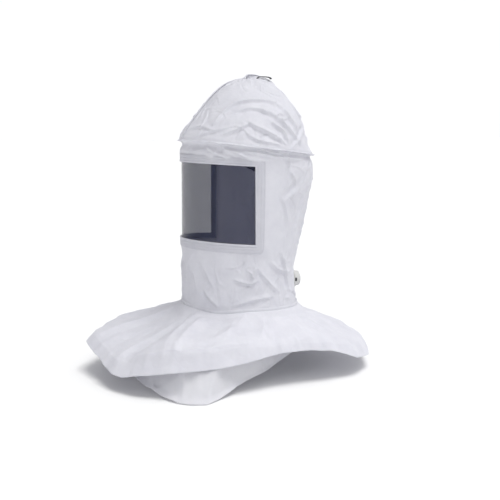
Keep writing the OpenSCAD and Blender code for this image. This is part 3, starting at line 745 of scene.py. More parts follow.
def make_crown():
    global crown_grid
    base = crown_grid
    n = normals(base, True)
    lift = np.zeros(base.shape[:2])
    for places, height, width in CROWN_FOLDS:
        lift += crease(base, fold_path(places), height * MM, width * MM)
    angle = np.degrees(np.arctan2(base[..., 0], -(base[..., 1] - 0.014)))
    low = 1 - smoothstep(base[..., 2], 30 * MM, 110 * MM)
    busy = np.exp(-((np.abs(angle) - 112) / 34) ** 2) * low
    lift += crumple(base, 230, 5, (0.7, 2.1), (2.0, 5.0), (5, 22), 0.4, 0.4 + 0.6 * busy)
    lift += ridged(base, 0.060, 3, (1, 1, 0.7)) * MM * (0.6 + 1.2 * busy)
    lift += (facets(base, 0.030, 8) - 0.4) * MM * (1.5 + 1.8 * busy)
    lift += soft(base, 0.08, 5) * 3.0 * MM
    rows = np.arange(CROWN_ROWS)[:, None]
    lift *= smoothstep(rows / 6.0, 0, 1) * (1 - smoothstep(rows / (CROWN_ROWS - 1), 0.93, 1.0) * 0.7)
    seam = np.abs(base[..., 0])
    lift *= 0.45 + 0.55 * smoothstep(seam, 3 * MM, 14 * MM)
    crown_grid = base + n * lift[..., None]
    half = CROWN_COLS // 2
    top = crown_grid[-1].mean(0)
    pieces = []
    for name, first in (("crown_panel_left", 0), ("crown_panel_right", half)):
        cols = [(first + k) % CROWN_COLS for k in range(half + 1)]
        sub = crown_grid[:, cols]
        verts = list(sub.reshape(-1, 3)) + [top]
        faces = grid_faces(CROWN_ROWS, half + 1, False)
        tip = len(verts) - 1
        last = (CROWN_ROWS - 1) * (half + 1)
        faces += [(last + k, last + k + 1, tip) for k in range(half)]
        node = "crown_left" if first == 0 else "crown_right"
        obj = piece(name, verts, faces, "hood_fabric", "hood", (node,))
        pieces.append(thicken(obj, 0.5 * MM))
    return pieces


def ribbon(name, centre, across, out, width, slot_name, body, replaces=(), thickness=0.5, humps=5):
    """A strip along a line: centre, across and out are lists of vectors."""
    verts = []
    for c, s, n in zip(centre, across, out):
        for k in range(humps):
            u = (k / (humps - 1) - 0.5) * 2
            verts.append(np.array(c) + np.array(s) * u * width / 2 + np.array(n) * 0.35 * MM * (1 - u ** 4))
    obj = piece(name, verts, grid_faces(len(centre), humps, False), slot_name, body, replaces)
    return thicken(obj, thickness * MM)


def stitches(name, centre, out, body, slot_name, stitch=3.2, gap=1.3, radius=0.34, lift=0.25):
    """A run of machine stitches along a line on the surface, each a short rounded dash."""
    path = [np.array(c) + np.array(n) * lift * MM for c, n in zip(centre, out)]
    lengths = np.concatenate([[0], np.cumsum([np.linalg.norm(b - a) for a, b in zip(path, path[1:])])])
    line = np.array(path)
    normal = np.array(out)

    def at(s):
        return (np.array([np.interp(s, lengths, line[:, k]) for k in range(3)]),
                np.array([np.interp(s, lengths, normal[:, k]) for k in range(3)]))
    verts, faces = [], []
    sides = 5
    s = 0.0
    while s + stitch * MM < lengths[-1]:
        stations = [(0.0, 0.35, -0.3), (0.18, 0.95, 0.1), (0.5, 1.0, 0.25), (0.82, 0.95, 0.1), (1.0, 0.35, -0.3)]
        base = len(verts)
        a, _ = at(s)
        b, n = at(s + stitch * MM)
        d = (b - a) / max(np.linalg.norm(b - a), 1e-9)
        w = np.cross(n, d)
        w /= max(np.linalg.norm(w), 1e-9)
        for f, r, h in stations:
            c = a + (b - a) * f + n * h * radius * MM
            for k in range(sides):
                ang = 2 * math.pi * k / sides
                verts.append(c + (w * math.cos(ang) + n * math.sin(ang)) * r * radius * MM)
        for i in range(len(stations) - 1):
            for k in range(sides):
                m = (k + 1) % sides
                faces.append((base + i * sides + k, base + i * sides + m,
                              base + (i + 1) * sides + m, base + (i + 1) * sides + k))
        faces.append(tuple(base + k for k in range(sides))[::-1])
        last = base + (len(stations) - 1) * sides
        faces.append(tuple(last + k for k in range(sides)))
        s += (stitch + gap) * MM
    return piece(name, verts, faces, slot_name, body)


def make_crown_seam():
    """The two halves meet in a felled seam over the top, with a row of stitches each side."""
    n = normals(crown_grid, True)
    half = CROWN_COLS // 2
    front = list(range(1, CROWN_ROWS))
    line = [crown_grid[i, 0] for i in front] + [crown_grid[i, half] for i in reversed(front)]
    out = [n[i, 0] for i in front] + [n[i, half] for i in reversed(front)]
    line, out = np.array(line), np.array(out)
    line[:, 0] = 0
    line = line + out * 0.55 * MM
    across = np.tile([1.0, 0, 0], (len(line), 1))
    strip = ribbon("crown_seam", line, across, out, 8 * MM, "hood_fabric", "hood", ("crown_seam_binding",))
    for side in (-1, 1):
        shift = np.array([side * 2.7 * MM, 0, 0])
        name = "crown_seam_stitches_" + ("left" if side > 0 else "right")
        stitches(name, line + shift, out, "hood", "hood_fabric")
    return strip


# ---------------------------------------------------------------- hood body
BODY_FRONT_COLS = 100     # from the front's middle to the window's side edge
BODY_BACK_COLS = 100      # from there to the middle of the back
BODY_LOW_ROWS = 62
BODY_WINDOW_ROWS = 76
BODY_TOP_ROWS = 24


def body_angles(z):
    w = window_angle(z)
    left = np.linspace(0, w, BODY_FRONT_COLS + 1)[:-1]
    rear = np.linspace(w, math.pi, BODY_BACK_COLS + 1)[:-1]
    half = np.concatenate([left, rear])
    return np.concatenate([half, [math.pi], -half[:0:-1]])


def body_base():
    rows = []
    low = np.linspace(NECK_Z, WIN_BOTTOM, BODY_LOW_ROWS + 1)[:-1]
    mid = np.linspace(WIN_BOTTOM, WIN_TOP, BODY_WINDOW_ROWS + 1)
    for z in np.concatenate([low, mid]):
        t = body_angles(z)
        p = lean(on_ring(z, t, back_bulge(t, z)).T)
        p[:, 2] += neck_dip(t) * (1 - smoothstep(p[:, 2], NECK_Z, NECK_Z + 60 * MM))
        rows.append(p)
    t = body_angles(WIN_TOP)
    rim_a, rim_yc, rim_b = ring_size(0.0)
    for k in range(1, BODY_TOP_ROWS + 1):
        f = k / BODY_TOP_ROWS
        z = WIN_TOP * (1 - f)
        # Just under the ridge the cloth tucks in before it bulges over the brow
        tuck = -2.4 * math.exp(-((f - 0.84) / 0.13) ** 2) + 2.2 * math.exp(-((f - 0.48) / 0.2) ** 2)
        swell = back_bulge(t, WIN_TOP + f * 30 * MM) + tuck * MM * (0.45 + 0.55 * np.abs(np.cos(t / 2)))
        p = lean(on_ring(WIN_TOP, t, swell).T)
        p[:, 2] += f * (ridge_at(p[:, 1]) - 1.2 * MM - p[:, 2])
        rows.append(p)
    return np.array(rows)


BODY_FOLDS = [
    ([(46, 19), (61, 4), (74, -8), (89, -20), (98, -34)], 5.2, 6.0),
    ([(70, 22), (84, 12), (98, 6), (112, 6)], 3.4, 4.0),
    ([(100, 10), (108, -16), (104, -40)], 3.2, 4.5),
    ([(30, 22), (38, 13), (46, 2), (60, -3)], 2.4, 4.0),
    ([(66, 10), (81, 5), (99, -5), (125, -11)], 3.6, 4.5),
    ([(138, -8), (123, -56), (106, -94)], 4.6, 6.5),
    ([(146, -32), (133, -110), (128, -200)], 3.2, 8.0),
    ([(84, -44), (90, -105), (102, -180), (106, -214)], 3.0, 6.0),
    ([(88, -28), (96, -68), (106, -98), (117, -146)], 3.2, 6.5),
    ([(108, -30), (116, -60), (114, -92)], 2.6, 5.5),
    ([(63, -257), (71, -262), (80, -266), (87, -259)], 3.8, 3.6),
    ([(75, -237), (80, -244), (83, -257)], 2.6, 3.2),
    ([(31, -279), (39, -300), (47, -316)], 2.8, 5.0),
    ([(61, -313), (76, -303), (90, -298), (105, -296)], 2.8, 4.5),
    ([(27, -222), (35, -248), (43, -275)], 1.8, 6.0),
    ([(99, -221), (113, -241), (135, -252)], 2.8, 5.0),
    ([(86, -232), (98, -262), (110, -288)], 2.6, 5.0),
    ([(112, -200), (122, -240), (128, -284)], 2.8, 6.0),
    ([(8, -226), (18, -252), (24, -290)], 1.8, 6.0),
    ([(150, -60), (156, -150), (146, -230)], 2.8, 8.0),
    ([(196, -40), (206, -120), (200, -210)], 3.0, 8.0),
    ([(212, -16), (226, -56), (244, -96)], 3.8, 7.0),
    ([(226, -30), (240, -90), (236, -180)], 3.2, 7.0),
    ([(262, -70), (256, -150), (264, -230)], 2.8, 6.0),
    ([(286, -210), (300, -250), (320, -280)], 3.0, 5.5),
    ([(330, -214), (340, -250), (352, -292)], 2.0, 5.5),
    ([(246, -2), (268, -10), (290, 2), (318, 20)], 3.6, 5.0),
    ([(170, -230), (184, -270), (196, -290)], 2.4, 6.0),
]


def fabric_calm(grid):
    """1 on free fabric, near 0 on and beside the window, the seams and the inlet."""
    t = np.arctan2(grid[..., 0], -(grid[..., 1] - 0.005))
    beside = np.maximum(np.maximum(WIN_BOTTOM - grid[..., 2], grid[..., 2] - WIN_TOP),
                        (np.abs(t) - 1.72) * 0.128)
    calm = smoothstep(beside, 4 * MM, 34 * MM)
    inlet = np.hypot(grid[..., 0], grid[..., 2] + 0.282) + (grid[..., 1] < 0) * 1.0
    calm = calm * (0.1 + 0.9 * smoothstep(inlet, 22 * MM, 48 * MM))
    return calm


def make_body():
    base = body_base()
    n = normals(base, True)
    rows = base.shape[0]
    lift = np.zeros(base.shape[:2])
    for places, height, width in BODY_FOLDS:
        lift += crease(base, fold_path(places), height * MM, width * MM)
    calm = fabric_calm(base)
    lift += crumple(base, 340, 6, (0.5, 1.5), (1.8, 4.5), (5, 26), 1.1, calm)
    lift += ridged(base, 0.075, 11, (1, 1, 0.55)) * 1.0 * MM
    lift += (facets(base, 0.042, 13, (1, 1, 0.75)) - 0.4) * 3.0 * MM
    lift += soft(base, 0.11, 14, (1, 1, 0.5)) * 3.4 * MM
    row = np.arange(rows)[:, None]
    ends = smoothstep(row / 5.0, 0, 1) * smoothstep((rows - 1 - row) / 4.0, 0, 1)
    # The forehead band is short, so its folds run on over the window's upper corner
    brow = smoothstep(base[..., 2], WIN_TOP + 6 * MM, WIN_TOP + 22 * MM)
    lift *= np.maximum(calm, brow) * (0.12 + 0.88 * ends)
    grid = base + n * lift[..., None]
    first_row = BODY_LOW_ROWS
    last_row = BODY_LOW_ROWS + BODY_WINDOW_ROWS
    cols = base.shape[1]

    def keep(i, j):
        in_rows = first_row <= i < last_row
        in_cols = j < BODY_FRONT_COLS or j >= cols - BODY_FRONT_COLS
        return not (in_rows and in_cols)
    faces = [f for f in grid_faces(rows, cols, True, keep)]
    used = sorted({k for f in faces for k in f})
    index = {k: m for m, k in enumerate(used)}
    verts = [grid.reshape(-1, 3)[k] for k in used]
    faces = [tuple(index[k] for k in f) for f in faces]
    obj = piece("hood_cloth", verts, faces, "hood_fabric", "hood", ("hood_body",))
    cut_inlet(obj)
    thicken(obj, 0.5 * MM)
    return grid, obj


def cut_inlet(obj):
    """The hole that the air inlet passes through."""
    lo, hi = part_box("inlet_nut")
    centre_z = (lo.z + hi.z) / 2
    reach = (hi.z - lo.z) / 2 - 3 * MM
    mesh = obj.data
    drop = [v.index for v in mesh.vertices
            if v.co.y > 0 and math.hypot(v.co.x, v.co.z - centre_z) < reach]
    gone = set(drop)
    faces = [tuple(p.vertices) for p in mesh.polygons if not gone & set(p.vertices)]
    used = sorted({k for f in faces for k in f})
    index = {k: m for m, k in enumerate(used)}
    verts = [mesh.vertices[k].co.copy() for k in used]
    mesh.clear_geometry()
    mesh.from_pydata([tuple(v) for v in verts], [], [tuple(index[k] for k in f) for f in faces])
    mesh.polygons.foreach_set("use_smooth", [True] * len(mesh.polygons))


# ---------------------------------------------------------------- ridge welt
def make_ridge():
    """The crown and the body are sewn together inside out, so the seam stands out as a thin welt."""
    profile = [(-1.2, -2.6), (0.6, -1.6), (3.0, -1.2), (5.0, -1.5), (5.9, -1.1), (6.0, -0.5),
               (5.0, 0.0), (2.8, 0.5), (0.8, 1.3), (-1.4, 3.0)]
    lo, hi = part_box("ridge_binding")
    a = (hi.x - lo.x) / 2 - 4.4 * MM
    yc, b = (lo.y + hi.y) / 2, (hi.y - lo.y) / 2 - 4.4 * MM
    cols = 320
    grid = np.zeros((len(profile), cols, 3))
    for j in range(cols):
        t = 2 * math.pi * j / cols
        q = Vector((math.sin(t) * 2.6, math.cos(t) * 2.6, 0))
        pull = float(rim_pull(np.array(t)))
        narrow = 1 - 0.5 * max(0.0, math.cos(t)) ** 2
        bunch = math.exp(-((abs(math.degrees(t) % 360 - 180) - 48) / 26) ** 2)
        sway = noise.noise(q * 2.3) * 1.3 + noise.noise(q * 7.0) * (0.45 + 1.6 * bunch)
        swell = 1 + 0.22 * noise.noise(q * 5.0 + Vector((3, 1, 4)))
        nx, ny = math.sin(t) / a, -math.cos(t) / b
        length = math.hypot(nx, ny)
        nx, ny = nx / length, ny / length
        for i, (out, up) in enumerate(profile):
            reach = out * MM * (swell * narrow if out > 1 else 1)
            x = (a + pull) * math.sin(t) + nx * reach
            y = yc - (b + pull) * math.cos(t) + ny * reach
            z = ridge_at(y) + (up + sway * max(0.0, out) / 6) * MM
            grid[i, j] = (x, y, z)
    obj = piece("ridge_welt", grid.reshape(-1, 3), grid_faces(len(profile), cols, True), "hood_fabric",
                "hood", ("ridge_binding",))
    n = normals(grid, True)
    line = [grid[7, j % cols] for j in range(cols + 1)]
    out = [n[7, j % cols] for j in range(cols + 1)]
    stitches("ridge_stitches", line, out, "hood", "hood_fabric")
    return obj


# ---------------------------------------------------------------- visor and its facing
def make_visor():
    film_out = -1.7 * MM
    rows, cols = 40, 150
    lap = 0.085
    grid = np.zeros((rows, cols, 3))
    for i in range(rows):
        z = WIN_BOTTOM - FILM_LAP + (WIN_TOP - WIN_BOTTOM + 2 * FILM_LAP) * i / (rows - 1)
        w = window_angle(z) + lap
        t = np.linspace(-w, w, cols)
        grid[i] = lean(on_ring(z, t, film_out).T)
    n = normals(grid, False)
    wave = soft(grid, 0.06, 31, (1, 1, 0.15)) * 0.9 * MM
    grid = grid + n * wave[..., None]
    obj = piece("visor", grid.reshape(-1, 3), grid_faces(rows, cols, False), "visor_film", "hood", ("visor_film",))
    return thicken(obj, 0.5 * MM)


FACING = 18 * MM
FACING_TOP = 16 * MM
CORNER_R = 13 * MM
BEND = 0.128       # mean radius of the tube, to turn arc length into angle


def facing_place(s, z, out):
    """s is arc length from the front's middle, z is a level."""
    w = window_angle(min(max(z, WIN_BOTTOM), WIN_TOP))
    half_arc = BEND * 1.72
    t = s / half_arc * w if abs(s) <= half_arc else math.copysign(w + (abs(s) - half_arc) / BEND, s)
    p = on_ring(min(z, 0.0), np.array(t), out)
    return lean(np.array([float(p[0]), float(p[1]), z]))


def facing_loop():
    """Pairs of inner and outer edge points of the facing, once round the window."""
    half_arc = BEND * 1.72
    x0, x1, z0, z1 = -half_arc, half_arc, WIN_BOTTOM, WIN_TOP
    inner, outer = [], []

    def run(a, b, count, off):
        for k in range(count):
            f = k / count
            p = (a[0] + (b[0] - a[0]) * f, a[1] + (b[1] - a[1]) * f)
            inner.append(p)
            outer.append((p[0] + off[0], p[1] + off[1]))

    def corner(p, start, reach_x, reach_z):
        steps = 9
        for k in range(steps):
            t = math.radians(start + 90 * k / steps)
            c, s = math.cos(t), math.sin(t)
            # A squared corner with its point rounded off
            e = 0.55
            u = math.copysign(abs(c) ** e, c)
            v = math.copysign(abs(s) ** e, s)
            inner.append(p)
            outer.append((p[0] + u * reach_x, p[1] + v * reach_z))
    run((x0, z0), (x1, z0), 110, (0, -FACING))
    corner((x1, z0), -90, FACING, FACING)
    run((x1, z0), (x1, z1), 46, (FACING, 0))
    corner((x1, z1), 0, FACING, FACING_TOP)
    run((x1, z1), (x0, z1), 110, (0, FACING_TOP))
    corner((x0, z1), 90, FACING, FACING_TOP)
    run((x0, z1), (x0, z0), 46, (-FACING, 0))
    corner((x0, z0), 180, FACING, FACING)
    return inner, outer


def make_facing():
    """A folded strip sewn round the window: it rolls over the cloth's edge and grips the film."""
    inner, outer = facing_loop()
    steps = [(-0.03, -1.9), (-0.08, -0.9), (-0.085, 0.6), (-0.02, 1.9), (0.08, 2.2), (0.17, 1.5), (0.22, 0.85),
             (0.28, 1.2), (0.40, 1.6), (0.50, 1.4), (0.55, 0.8), (0.60, 1.25), (0.70, 1.7), (0.82, 1.4),
             (0.88, 0.8), (0.94, 1.5), (1.0, 1.2), (1.02, 0.4), (1.0, -0.4)]
    count = len(inner)
    grid = np.zeros((len(steps), count, 3))
    for j in range(count):
        (ax, az), (bx, bz) = inner[j], outer[j]
        for i, (f, out) in enumerate(steps):
            s, z = ax + (bx - ax) * f, az + (bz - az) * f
            ripple = 0.35 * noise.noise(Vector((s * 60, z * 60, f * 2))) if f > 0.1 else 0
            grid[i, j] = facing_place(s, z, (out + ripple) * MM)
    obj = piece("visor_surround", grid[::-1].reshape(-1, 3), grid_faces(len(steps), count, True), "facing_fabric",
                "hood", ("visor_facing",))
    thicken(obj, 0.35 * MM)
    for k, f in enumerate((0.22, 0.55, 0.88)):
        line, out = [], []
        for j in range(count + 1):
            (ax, az), (bx, bz) = inner[j % count], outer[j % count]
            s, z = ax + (bx - ax) * f, az + (bz - az) * f
            p = facing_place(s, z, 1.15 * MM)
            q = facing_place(s, z, 2.15 * MM)
            line.append(p)
            out.append((q - p) / np.linalg.norm(q - p))
        stitches(f"surround_stitches_{k + 1}", line, out, "hood", "facing_fabric")
    return obj


# ---------------------------------------------------------------- cape and bib
DRAPE_COLS = 432


def hem_of(node):
    """The hem's distance and level for each direction from the front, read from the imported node."""
    pts = points_of(node)
    angle = np.degrees(np.arctan2(pts[:, 0], -pts[:, 1]))
    radius = np.hypot(pts[:, 0], pts[:, 1])
    out = []
    for a in range(-180, 180, 5):
        near = np.abs((angle - a + 180) % 360 - 180) < 0.4
        k = np.argmax(np.where(near, radius, -1))
        out.append((a, radius[k], pts[k, 2]))
    return np.array(out)


def drape_base(node, steps, start, tuck, smooth=6):
    hem = hem_of(node)
    tree = tree_of(node)
    angles = np.arange(DRAPE_COLS) / DRAPE_COLS * 360 - 180
    radius = np.interp(angles, hem[:, 0], hem[:, 1], period=360)
    level = np.interp(angles, hem[:, 0], hem[:, 2], period=360)
    grid = np.zeros((len(steps), DRAPE_COLS, 3))
    for j, a in enumerate(np.radians(angles)):
        a_half, yc, b = ring_size(NECK_Z)
        # Where the neck ring lies in this direction from the axis
        c, s = math.cos(a), math.sin(a)
        k2 = (s / (a_half + start)) ** 2 + (c / (b + start)) ** 2
        k1 = 2 * c * yc / (b + start) ** 2
        k0 = (yc / (b + start)) ** 2 - 1
        r0 = (-k1 + math.sqrt(k1 * k1 - 4 * k2 * k0)) / (2 * k2)
        r1 = radius[j] - 0.3 * MM
        z0 = NECK_Z - tuck
        for i, t in enumerate(steps):
            r = r0 + (r1 - r0) * t
            x, y = r * s, -r * c
            hit = tree.ray_cast(Vector((x, y, 0.2)), Vector((0, 0, -1)))
            z = hit[0].z if hit[0] is not None and t < 0.97 else None
            grid[i, j] = (x, y, z if z is not None else np.nan)
        col = grid[:, j, 2]
        col[0] = z0
        col[-1] = level[j]
        bad = np.isnan(col)
        col[bad] = np.interp(np.array(steps)[bad], np.array(steps)[~bad], col[~bad])
        # The neck edge follows the body's
        col += neck_dip(a) * (1 - smoothstep(np.array(steps), 0.0, 0.3))
    z = grid[..., 2].copy()
    ends = z[[0, -1]].copy()
    z = blur(z, smooth, True)
    z[[0, -1]] = ends
    grid[..., 2] = z
    return grid


def drape_grid_faces(rows, cols):
    # Rows run from the neck outwards, so the faces are turned to keep the outer side up
    return [f[::-1] for f in grid_faces(rows, cols, True)]


def polar(angle, radius, z=0.0):
    t = math.radians(angle)
    return np.array([radius * MM * math.sin(t), -radius * MM * math.cos(t), z])


def flat_crease(grid, path, height, width, valley=0.5, fade=0.5):
    """A fold in a cape, with its path given as (degrees, distance in mm) and judged in plan."""
    flat = grid.copy()
    flat[..., 2] = 0
    return crease(flat, [polar(*p) for p in path], height * MM, width * MM, valley, fade)


# Each is its places as (degrees, distance in mm), its height and width in mm and how deep its hollow is
CAPE_FOLDS = [
    ([(22, 304), (30, 304), (42, 286), (52, 264), (64, 230), (78, 206)], 3.4, 5.0, 0.5),
    ([(24, 124), (29, 180), (33, 250), (36, 306)], 5.0, 10.0, 0.8),
    ([(88, 128), (84, 160), (78, 196)], 4.0, 8.0, 0.7),
    ([(70, 130), (64, 176), (54, 232)], 2.6, 8.0, 0.5),
    ([(36, 150), (38, 210), (40, 290)], 7.0, 16.0, 0.9),
    ([(16, 140), (14, 220), (13, 320)], 4.0, 15.0, 0.4),
    ([(-14, 150), (-12, 230), (-10, 330)], 4.5, 14.0, 0.3),
    ([(4, 180), (0, 250), (-4, 320)], 2.2, 12.0, 0.5),
    ([(62, 140), (60, 190), (58, 236)], 3.0, 12.0, 0.5),
    ([(84, 136), (84, 170), (82, 204)], 3.4, 11.0, 0.5),
    ([(112, 140), (112, 175), (110, 206)], 3.4, 12.0, 0.5),
    ([(130, 150), (132, 200), (134, 260)], 5.0, 13.0, 0.6),
    ([(155, 150), (156, 220), (156, 285)], 3.6, 14.0, 0.5),
    ([(186, 150), (184, 220), (182, 295)], 4.0, 14.0, 0.5),
    ([(212, 150), (213, 210), (214, 270)], 4.5, 13.0, 0.5),
    ([(244, 145), (240, 190), (238, 238)], 4.0, 13.0, 0.5),
    ([(268, 140), (270, 175), (272, 210)], 3.6, 12.0, 0.5),
    ([(298, 145), (300, 195), (303, 255)], 4.6, 13.0, 0.5),
    ([(324, 150), (325, 220), (326, 305)], 4.5, 14.0, 0.5),
]


def make_cape():
    steps = np.concatenate([np.linspace(0, 0.12, 9)[:-1], np.linspace(0.12, 0.88, 50)[:-1], np.linspace(0.88, 1.0, 20)])
    base = drape_base("outer_cape", steps, 0.2 * MM, 0.0, 2)
    n = -normals(base, True)
    lift = np.zeros(base.shape[:2])
    for path, height, width, valley in CAPE_FOLDS:
        lift += flat_crease(base, path, height, width, valley, 0.35)
    lift += ridged(base, 0.085, 21) * 1.2 * MM
    lift += (facets(base, 0.050, 23) - 0.4) * 1.5 * MM
    lift += soft(base, 0.13, 24) * 4.0 * MM
    row = np.arange(len(steps))[:, None]
    lift *= smoothstep(row / 9.0, 0, 1)
    # The raw hem ripples
    angles = np.arange(DRAPE_COLS) / DRAPE_COLS * 2 * math.pi
    ripple = np.array([noise.noise(Vector((math.cos(a) * 9, math.sin(a) * 9, 2))) for a in angles])
    flick = np.array([noise.noise(Vector((math.cos(a) * 26, math.sin(a) * 26, 6))) for a in angles])
    lift += (steps[:, None] ** 3) * (ripple * 4.5 + flick * 1.6)[None] * MM
    grid = base + n * lift[..., None]
    obj = piece("cape", grid.reshape(-1, 3), drape_grid_faces(len(steps), DRAPE_COLS), "hood_fabric", "hood",
                ("outer_cape",))
    thicken(obj, 0.5 * MM)
    return grid, obj


def make_bib():
    steps = np.linspace(0, 1, 90)
    base = drape_base("inner_bib", steps, -6.0 * MM, 1.0 * MM, 2)
    # At the front left it is carried higher, close under the cape
    turn = (np.arange(DRAPE_COLS) / DRAPE_COLS * 360 - 180)[None]
    carried = np.exp(-((turn - 25) / 11) ** 2) * np.sin(math.pi * np.clip((steps[:, None] - 0.25) / 0.7, 0, 1))
    base[..., 2] += 8 * MM * carried
    n = -normals(base, True)
    lift = ridged(base, 0.08, 41) * 1.2 * MM
    lift += (facets(base, 0.040, 43) - 0.4) * 2.2 * MM
    lift += soft(base, 0.12, 44) * 2.5 * MM
    # The crest where it turns down, and the folds that run from it to the corner
    lift += flat_crease(base, [(24, 262), (31, 292), (40, 284), (50, 254), (64, 206), (82, 168)], 4.0, 9, 0.4, 0.3)
    lift += flat_crease(base, [(46, 312), (44, 284), (40, 240)], 3.6, 8, 0.5, 0.4)
    lift += flat_crease(base, [(54, 300), (56, 262), (54, 214)], 3.0, 7, 0.5, 0.4)
    lift += flat_crease(base, [(32, 282), (34, 240), (40, 196)], 2.4, 8, 0.5, 0.4)
    row = np.arange(len(steps))[:, None]
    lift *= smoothstep(row / 6.0, 0, 1)
    grid = base + n * lift[..., None]
    # It can't sink into what it lies on
    floor_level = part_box("inner_bib")[0].z + 0.3 * MM
    grid[..., 2] = np.maximum(grid[..., 2], floor_level)
    obj = piece("bib", grid.reshape(-1, 3), drape_grid_faces(len(steps), DRAPE_COLS), "bib_fabric", "hood",
                ("inner_bib",))
    thicken(obj, 0.5 * MM)
    return grid, obj


def make_neck_seam(body_grid):
    """The body's lower edge is folded and stitched down on the cape."""
    n = normals(body_grid, True)
    cols = body_grid.shape[1]
    line = [body_grid[0, j % cols] + np.array([0, 0, 3.6 * MM]) for j in range(cols + 1)]
    out = [n[1, j % cols] for j in range(cols + 1)]
    stitches("neck_stitches", line, out, "hood", "hood_fabric", 3.6, 1.6, 0.42, 0.35)
    profile = [(0.2, 6.4), (0.9, 6.0), (1.1, 3.4), (1.3, 0.2), (1.1, -0.9), (0.2, -1.0)]
    grid = np.zeros((len(profile), cols, 3))
    for i, (o, up) in enumerate(profile):
        grid[i] = body_grid[0] + n[1] * o * MM * 0.75 + np.array([0, 0, up * MM])
    obj = piece("neck_seam", grid[::-1].reshape(-1, 3), grid_faces(len(profile), cols, True), "hood_fabric", "hood")
    return obj


# ---------------------------------------------------------------- small fabric pieces
def make_hang_loop():
    lo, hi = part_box("hang_loop")
    x = (lo.x + hi.x) / 2
    width = hi.x - lo.x
    y0, y1 = lo.y, hi.y
    count = 44
    centre, across, out = [], [], []
    for k in range(count):
        t = math.pi * k / (count - 1)
        y = (y0 + y1) / 2 - (y1 - y0) / 2 * math.cos(t)
        z = lo.z + (hi.z - lo.z) * (math.sin(t) ** 0.8) + 0.4 * MM * math.sin(3 * t)
        centre.append((x + 1.2 * MM * math.sin(2 * t), y, z))
        across.append((1, 0.08 * math.sin(t), 0))
        out.append((0, -math.cos(t), math.sin(t) + 0.2))
    return ribbon("hanging_loop", centre, across, out, width, "black_webbing", "hood", ("hang_loop",), 1.3)


def inlet_hole():
    """Radius of the patch's hole, which the nut covers."""
    lo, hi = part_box("inlet_nut")
    return (hi.z - lo.z) / 2 - 5 * MM


def make_patch():
    """A round reinforcing patch round the air inlet, with one row of stitches."""
    lo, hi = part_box("inlet_patch")
    nut_lo, nut_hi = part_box("inlet_nut")
    centre_z = (nut_lo.z + nut_hi.z) / 2
    inner = inlet_hole()
    outer = (hi.z - lo.z) / 2
    rings, cols = 8, 72
    grid = np.zeros((rings, cols, 3))
    for i in range(rings):
        r = inner + (outer - inner) * i / (rings - 1)
        for j in range(cols):
            t = 2 * math.pi * j / cols
            x, z = r * math.cos(t), centre_z + r * math.sin(t)
            a, yc, b = ring_size(z)
            y = yc + b * math.sqrt(max(0, 1 - (x / a) ** 2))
            grid[i, j] = (x, y + (1.0 if i < rings - 1 else 0.5) * MM, z)
    obj = piece("inlet_reinforcement", grid.reshape(-1, 3), grid_faces(rings, cols, True), "facing_fabric", "hood",
                ("inlet_patch",))
    thicken(obj, 0.4 * MM)
    line = [grid[6, j % cols] for j in range(cols + 1)]
    out = [np.array([0.0, 1.0, 0.0])] * (cols + 1)
    stitches("inlet_stitches", line, out, "hood", "facing_fabric")
    return obj


# ---------------------------------------------------------------- padded pieces
def pad(node, name, body, voxel, swell_cap, pressure):
    """A pad: the node's form, puffed by a short cloth simulation with inner pressure."""
    src = NODE[node]
    mesh = src.data.copy()
    obj = bpy.data.objects.new(name, mesh)
    bpy.context.scene.collection.objects.link(obj)
    mesh.materials.clear()
    mesh.materials.append(finish_of("pad_foam"))
    bpy.context.view_layer.objects.active = obj
    remesh = obj.modifiers.new("remesh", "REMESH")
    remesh.mode = "VOXEL"
    remesh.voxel_size = voxel * MM
    apply_all(obj)
    start = vertex_array(obj)
    cloth = obj.modifiers.new("cloth", "CLOTH")
    cloth.settings.use_pressure = True
    cloth.settings.uniform_pressure_force = pressure
    cloth.settings.effector_weights.gravity = 0
    cloth.settings.quality = 5
    for f in range(1, 15):
        bpy.context.scene.frame_set(f)
    moved = evaluated_array(obj)
    obj.modifiers.clear()
    bpy.context.scene.frame_set(1)
    step = moved - start
    size = np.linalg.norm(step, axis=1, keepdims=True)
    step *= np.minimum(1, swell_cap * MM / np.maximum(size, 1e-9))
    obj.data.vertices.foreach_set("co", (start + step).ravel())
    for p in obj.data.polygons:
        p.use_smooth = True
    obj.modifiers.new("smooth", "SMOOTH").iterations = 2
    obj.modifiers.new("subdivision", "SUBSURF").render_levels = 1
    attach(obj, body)
    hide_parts(node)
    return obj


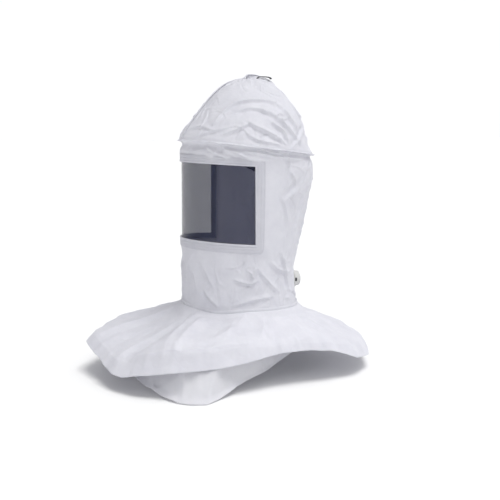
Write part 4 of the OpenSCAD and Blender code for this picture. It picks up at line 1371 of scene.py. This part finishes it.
def apply_all(obj):
    dg = bpy.context.evaluated_depsgraph_get()
    fresh = bpy.data.meshes.new_from_object(obj.evaluated_get(dg))
    obj.modifiers.clear()
    obj.data = fresh


def vertex_array(obj):
    co = np.zeros(len(obj.data.vertices) * 3)
    obj.data.vertices.foreach_get("co", co)
    return co.reshape(-1, 3)


def evaluated_array(obj):
    dg = bpy.context.evaluated_depsgraph_get()
    mesh = obj.evaluated_get(dg).to_mesh()
    co = np.zeros(len(mesh.vertices) * 3)
    mesh.vertices.foreach_get("co", co)
    return co.reshape(-1, 3)


# ---------------------------------------------------------------- CAD nodes that stay
BEVELS = {"ratchet_housing": 0.8, "ratchet_cover": 0.8, "ratchet_knob": 0.7, "swivel_collar": 0.5,
          "inlet_nut": 0.5, "latch_button_left": 0.3, "latch_button_right": 0.3, "duct_lower": 0.6,
          "duct_cover": 1.2, "air_nozzle": 0.8, "brow_bracket": 0.6, "rear_bracket": 0.6, "headband": 0.4,
          "nape_arm_left": 0.4, "nape_arm_right": 0.4, "hood_hoop": 0.6}


def dress_cad_nodes():
    slot_of = {s["node"]: s["material_slot"] for s in frame["record"]["subparts"]}
    for name, obj in NODE.items():
        if obj.hide_render:
            continue
        obj.data.materials.clear()
        obj.data.materials.append(finish_of(slot_of[name]))
        if name in BEVELS:
            mod = obj.modifiers.new("edge", "BEVEL")
            mod.width = BEVELS[name] * MM
            mod.segments = 2
            mod.limit_method = "ANGLE"
            mod.angle_limit = math.radians(40)


# ---------------------------------------------------------------- build
make_camera()
make_stage()
make_light()
plain_crown, plain_body = crown_grid.copy(), body_base()
panels = make_crown()
crown_seam = make_crown_seam()
body_grid, body_cloth = make_body()
ridge = make_ridge()
make_visor()
surround = make_facing()
cape_grid, cape = make_cape()
bib_grid, bib = make_bib()
neck_seam = make_neck_seam(body_grid)
make_hang_loop()
patch = make_patch()
pad("sweatband", "sweatband_pad", "hood", 2.2, 1.0, 2.0)
pad("crown_pad", "crown_cushion", "crown_straps", 3.0, 2.5, 3.0)
pad("nape_pad", "nape_cushion", "nape", 2.6, 1.5, 3.0)
dress_cad_nodes()
